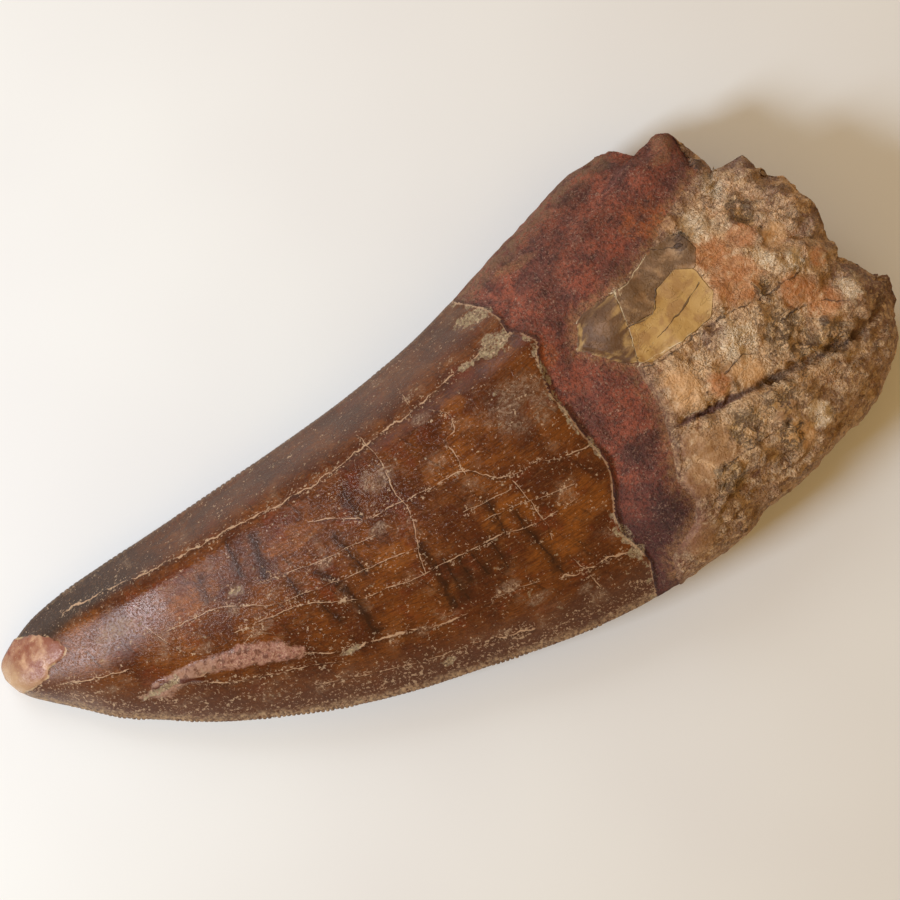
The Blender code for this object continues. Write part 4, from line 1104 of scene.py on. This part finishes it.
    # purple-brown sand in the long groove, and painted shade in the grooves' deepest middles and in the pits
    inGroove = mark("grooves", 0.35, 0.8, 0.9, 0.35) * (mark("grooveSand", 0.0, 1.0) * 0.6 + 0.3)
    bone.paint((yellow, mark("flakeGap", 0.05, -0.05, 0.8, 0.12)), ("olive", olive),
               (left, mark("flakeLeftGap", 0.05, -0.05, 0.8, 0.12) * 0.9),
               ("line", pale * 0.8), ("dark", darkLine * 0.75), ("sand", inGroove),
               ("dark", mark("grooves", 0.75, 1.0, 0.6, 0.3) * 0.5),
               ("dark", mark("pits", 0.4, 0.8, 0.8, 0.7) * 0.7))
    height = (crystal + hollow * -1.3 + (grit * 0.7 + facet) * crumb * 0.9 + darkLine * -0.8
              + grains(here, 0.25, 0.3, 0.7, 2.0) * crumb * 0.8)
    return bone.close(height, calm * -0.14 + boneLook["roughness"])


def faceKinds(points, faces, side):
    # which material each face gets: 0 enamel, 1 sandstone, 2 bone; the break has a sandstone core
    centres = points[faces].mean(axis=1)
    pastEnamel = centres[:, 0] - lineX(root["enamelEnd"], centres[:, 1])
    pastBand = centres[:, 0] - lineX(root["boneStart"], centres[:, 1])
    kind = np.where(pastEnamel < 0.0, 0, np.where(pastBand < 0.0, 1, 2))
    core = np.abs(centres[:, 2] - form["coreHeight"]) < form["coreHalf"]
    return np.where(side[faces].min(axis=1) == 2, np.where(core, 1, 2), kind)


def makeTooth():
    shell = buildShell()
    points, faces, side = (np.array(part) for part in (shell.points, shell.faces, shell.side))
    marks = surfaceMarks(points, side)
    points = roughen(points, vertexNormals(points, faces), marks, side)
    low, high = points.min(axis=0), points.max(axis=0)
    cadLow, cadHigh = (np.array(corner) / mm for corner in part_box("fossil_tooth"))
    shift = (cadLow + cadHigh) / 2 - (low + high) / 2
    shift[2] = cadLow[2] - low[2]
    data = bpy.data.meshes.new("tooth_surface")
    data.from_pydata(((points + shift) * mm).tolist(), [], faces.tolist())
    for name, values in marks.items():
        layer = data.attributes.new(name, "FLOAT", "POINT")
        layer.data.foreach_set("value", values.astype(np.float32))
    layer = data.attributes.new("flow", "FLOAT_VECTOR", "POINT")
    layer.data.foreach_set("vector", np.array(shell.flow, np.float32).ravel())
    for material in (makeEnamel(), makeSandstone(), makeBone()):
        data.materials.append(material)
    data.polygons.foreach_set("material_index", faceKinds(points, faces, side).astype(np.int32))
    data.shade_smooth()
    data.update()
    tooth = bpy.data.objects.new("fossil_tooth_surface", data)
    bpy.context.scene.collection.objects.link(tooth)
    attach(tooth, "root")
    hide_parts("fossil_tooth")
    print("tooth:", len(faces), "triangles, shift", shift.round(3))
    return shift


# White laminate: pressed and matt, with slow clouds of tone. It gives a plain warm ground that takes
# a soft shadow. Light comes from two windows, and the room's own light is warm.
studio = dict(
    floor="f2f0e8", cloud="edeae3", cloudSize=40.0, floorSize=1600.0, floorDrop=0.02,
    camera=(1.45, 2.15, 227.0), turn=30.0, field=83.25, distance=220.0, sensor=36.0,
    key=dict(at=(-244.0, 24.0, 208.0), to=(-25.0, 28.0, 0.0), size=90.0, power=0.195, spread=80.0),
    fill=dict(at=(-10.0, 235.0, 190.0), to=(-20.0, 34.0, 0.0), size=180.0, power=0.08, spread=95.0),
    daylight="d6e8ff", sky="b09468", skyStrength=1.08)


def makeFloor():
    laminate = Finish("matt_white_laminate", studio, Roughness=0.55, IOR=1.46)
    laminate.colour = laminate.tone("floor", "cloud", grains(laminate.here, studio["cloudSize"], 0.3, 0.7))
    half = studio["floorSize"] / 2 * mm
    data = bpy.data.meshes.new("studio_floor")
    data.from_pydata([(-half, -half, 0), (half, -half, 0), (half, half, 0), (-half, half, 0)], [],
                     [(0, 1, 2, 3)])
    data.materials.append(laminate.close())
    floor = bpy.data.objects.new("studio_floor", data)
    floor.location.z = cadBox[0][2] - studio["floorDrop"] * mm
    bpy.context.scene.collection.objects.link(floor)


def makeWindow(name, values):
    light = bpy.data.lights.new(name, "AREA")
    light.shape, light.size, light.energy = "SQUARE", values["size"] * mm, values["power"]
    light.color, light.spread = linear(studio["daylight"])[:3], math.radians(values["spread"])
    lamp = bpy.data.objects.new(name, light)
    lamp.location = [v * mm for v in values["at"]]
    aim = Vector(v * mm for v in values["to"]) - lamp.location
    lamp.rotation_euler = aim.to_track_quat("-Z", "Y").to_euler()
    bpy.context.scene.collection.objects.link(lamp)


def makeStudio(shift):
    makeFloor()
    for name in ("key", "fill"):
        makeWindow(name + "_window", studio[name])
    world = bpy.data.worlds.new("soft_room")
    bpy.context.scene.world = world
    world.use_nodes = True
    room = world.node_tree.nodes["Background"].inputs
    room[0].default_value, room[1].default_value = linear(studio["sky"]), studio["skyStrength"]
    lens = bpy.data.cameras.new("camera")
    lens.sensor_width = studio["sensor"]
    lens.lens = studio["sensor"] * studio["distance"] / studio["field"]
    camera = bpy.data.objects.new("camera", lens)
    x, y, z = studio["camera"]
    camera.location = [(x + shift[0]) * mm, (y + shift[1]) * mm, z * mm]
    camera.rotation_euler = (0.0, 0.0, -math.radians(studio["turn"]))
    bpy.context.scene.collection.objects.link(camera)
    bpy.context.scene.camera = camera
    bpy.context.scene.view_settings.view_transform = "Standard"


shift = makeTooth()
makeStudio(shift)
print("studio ready")
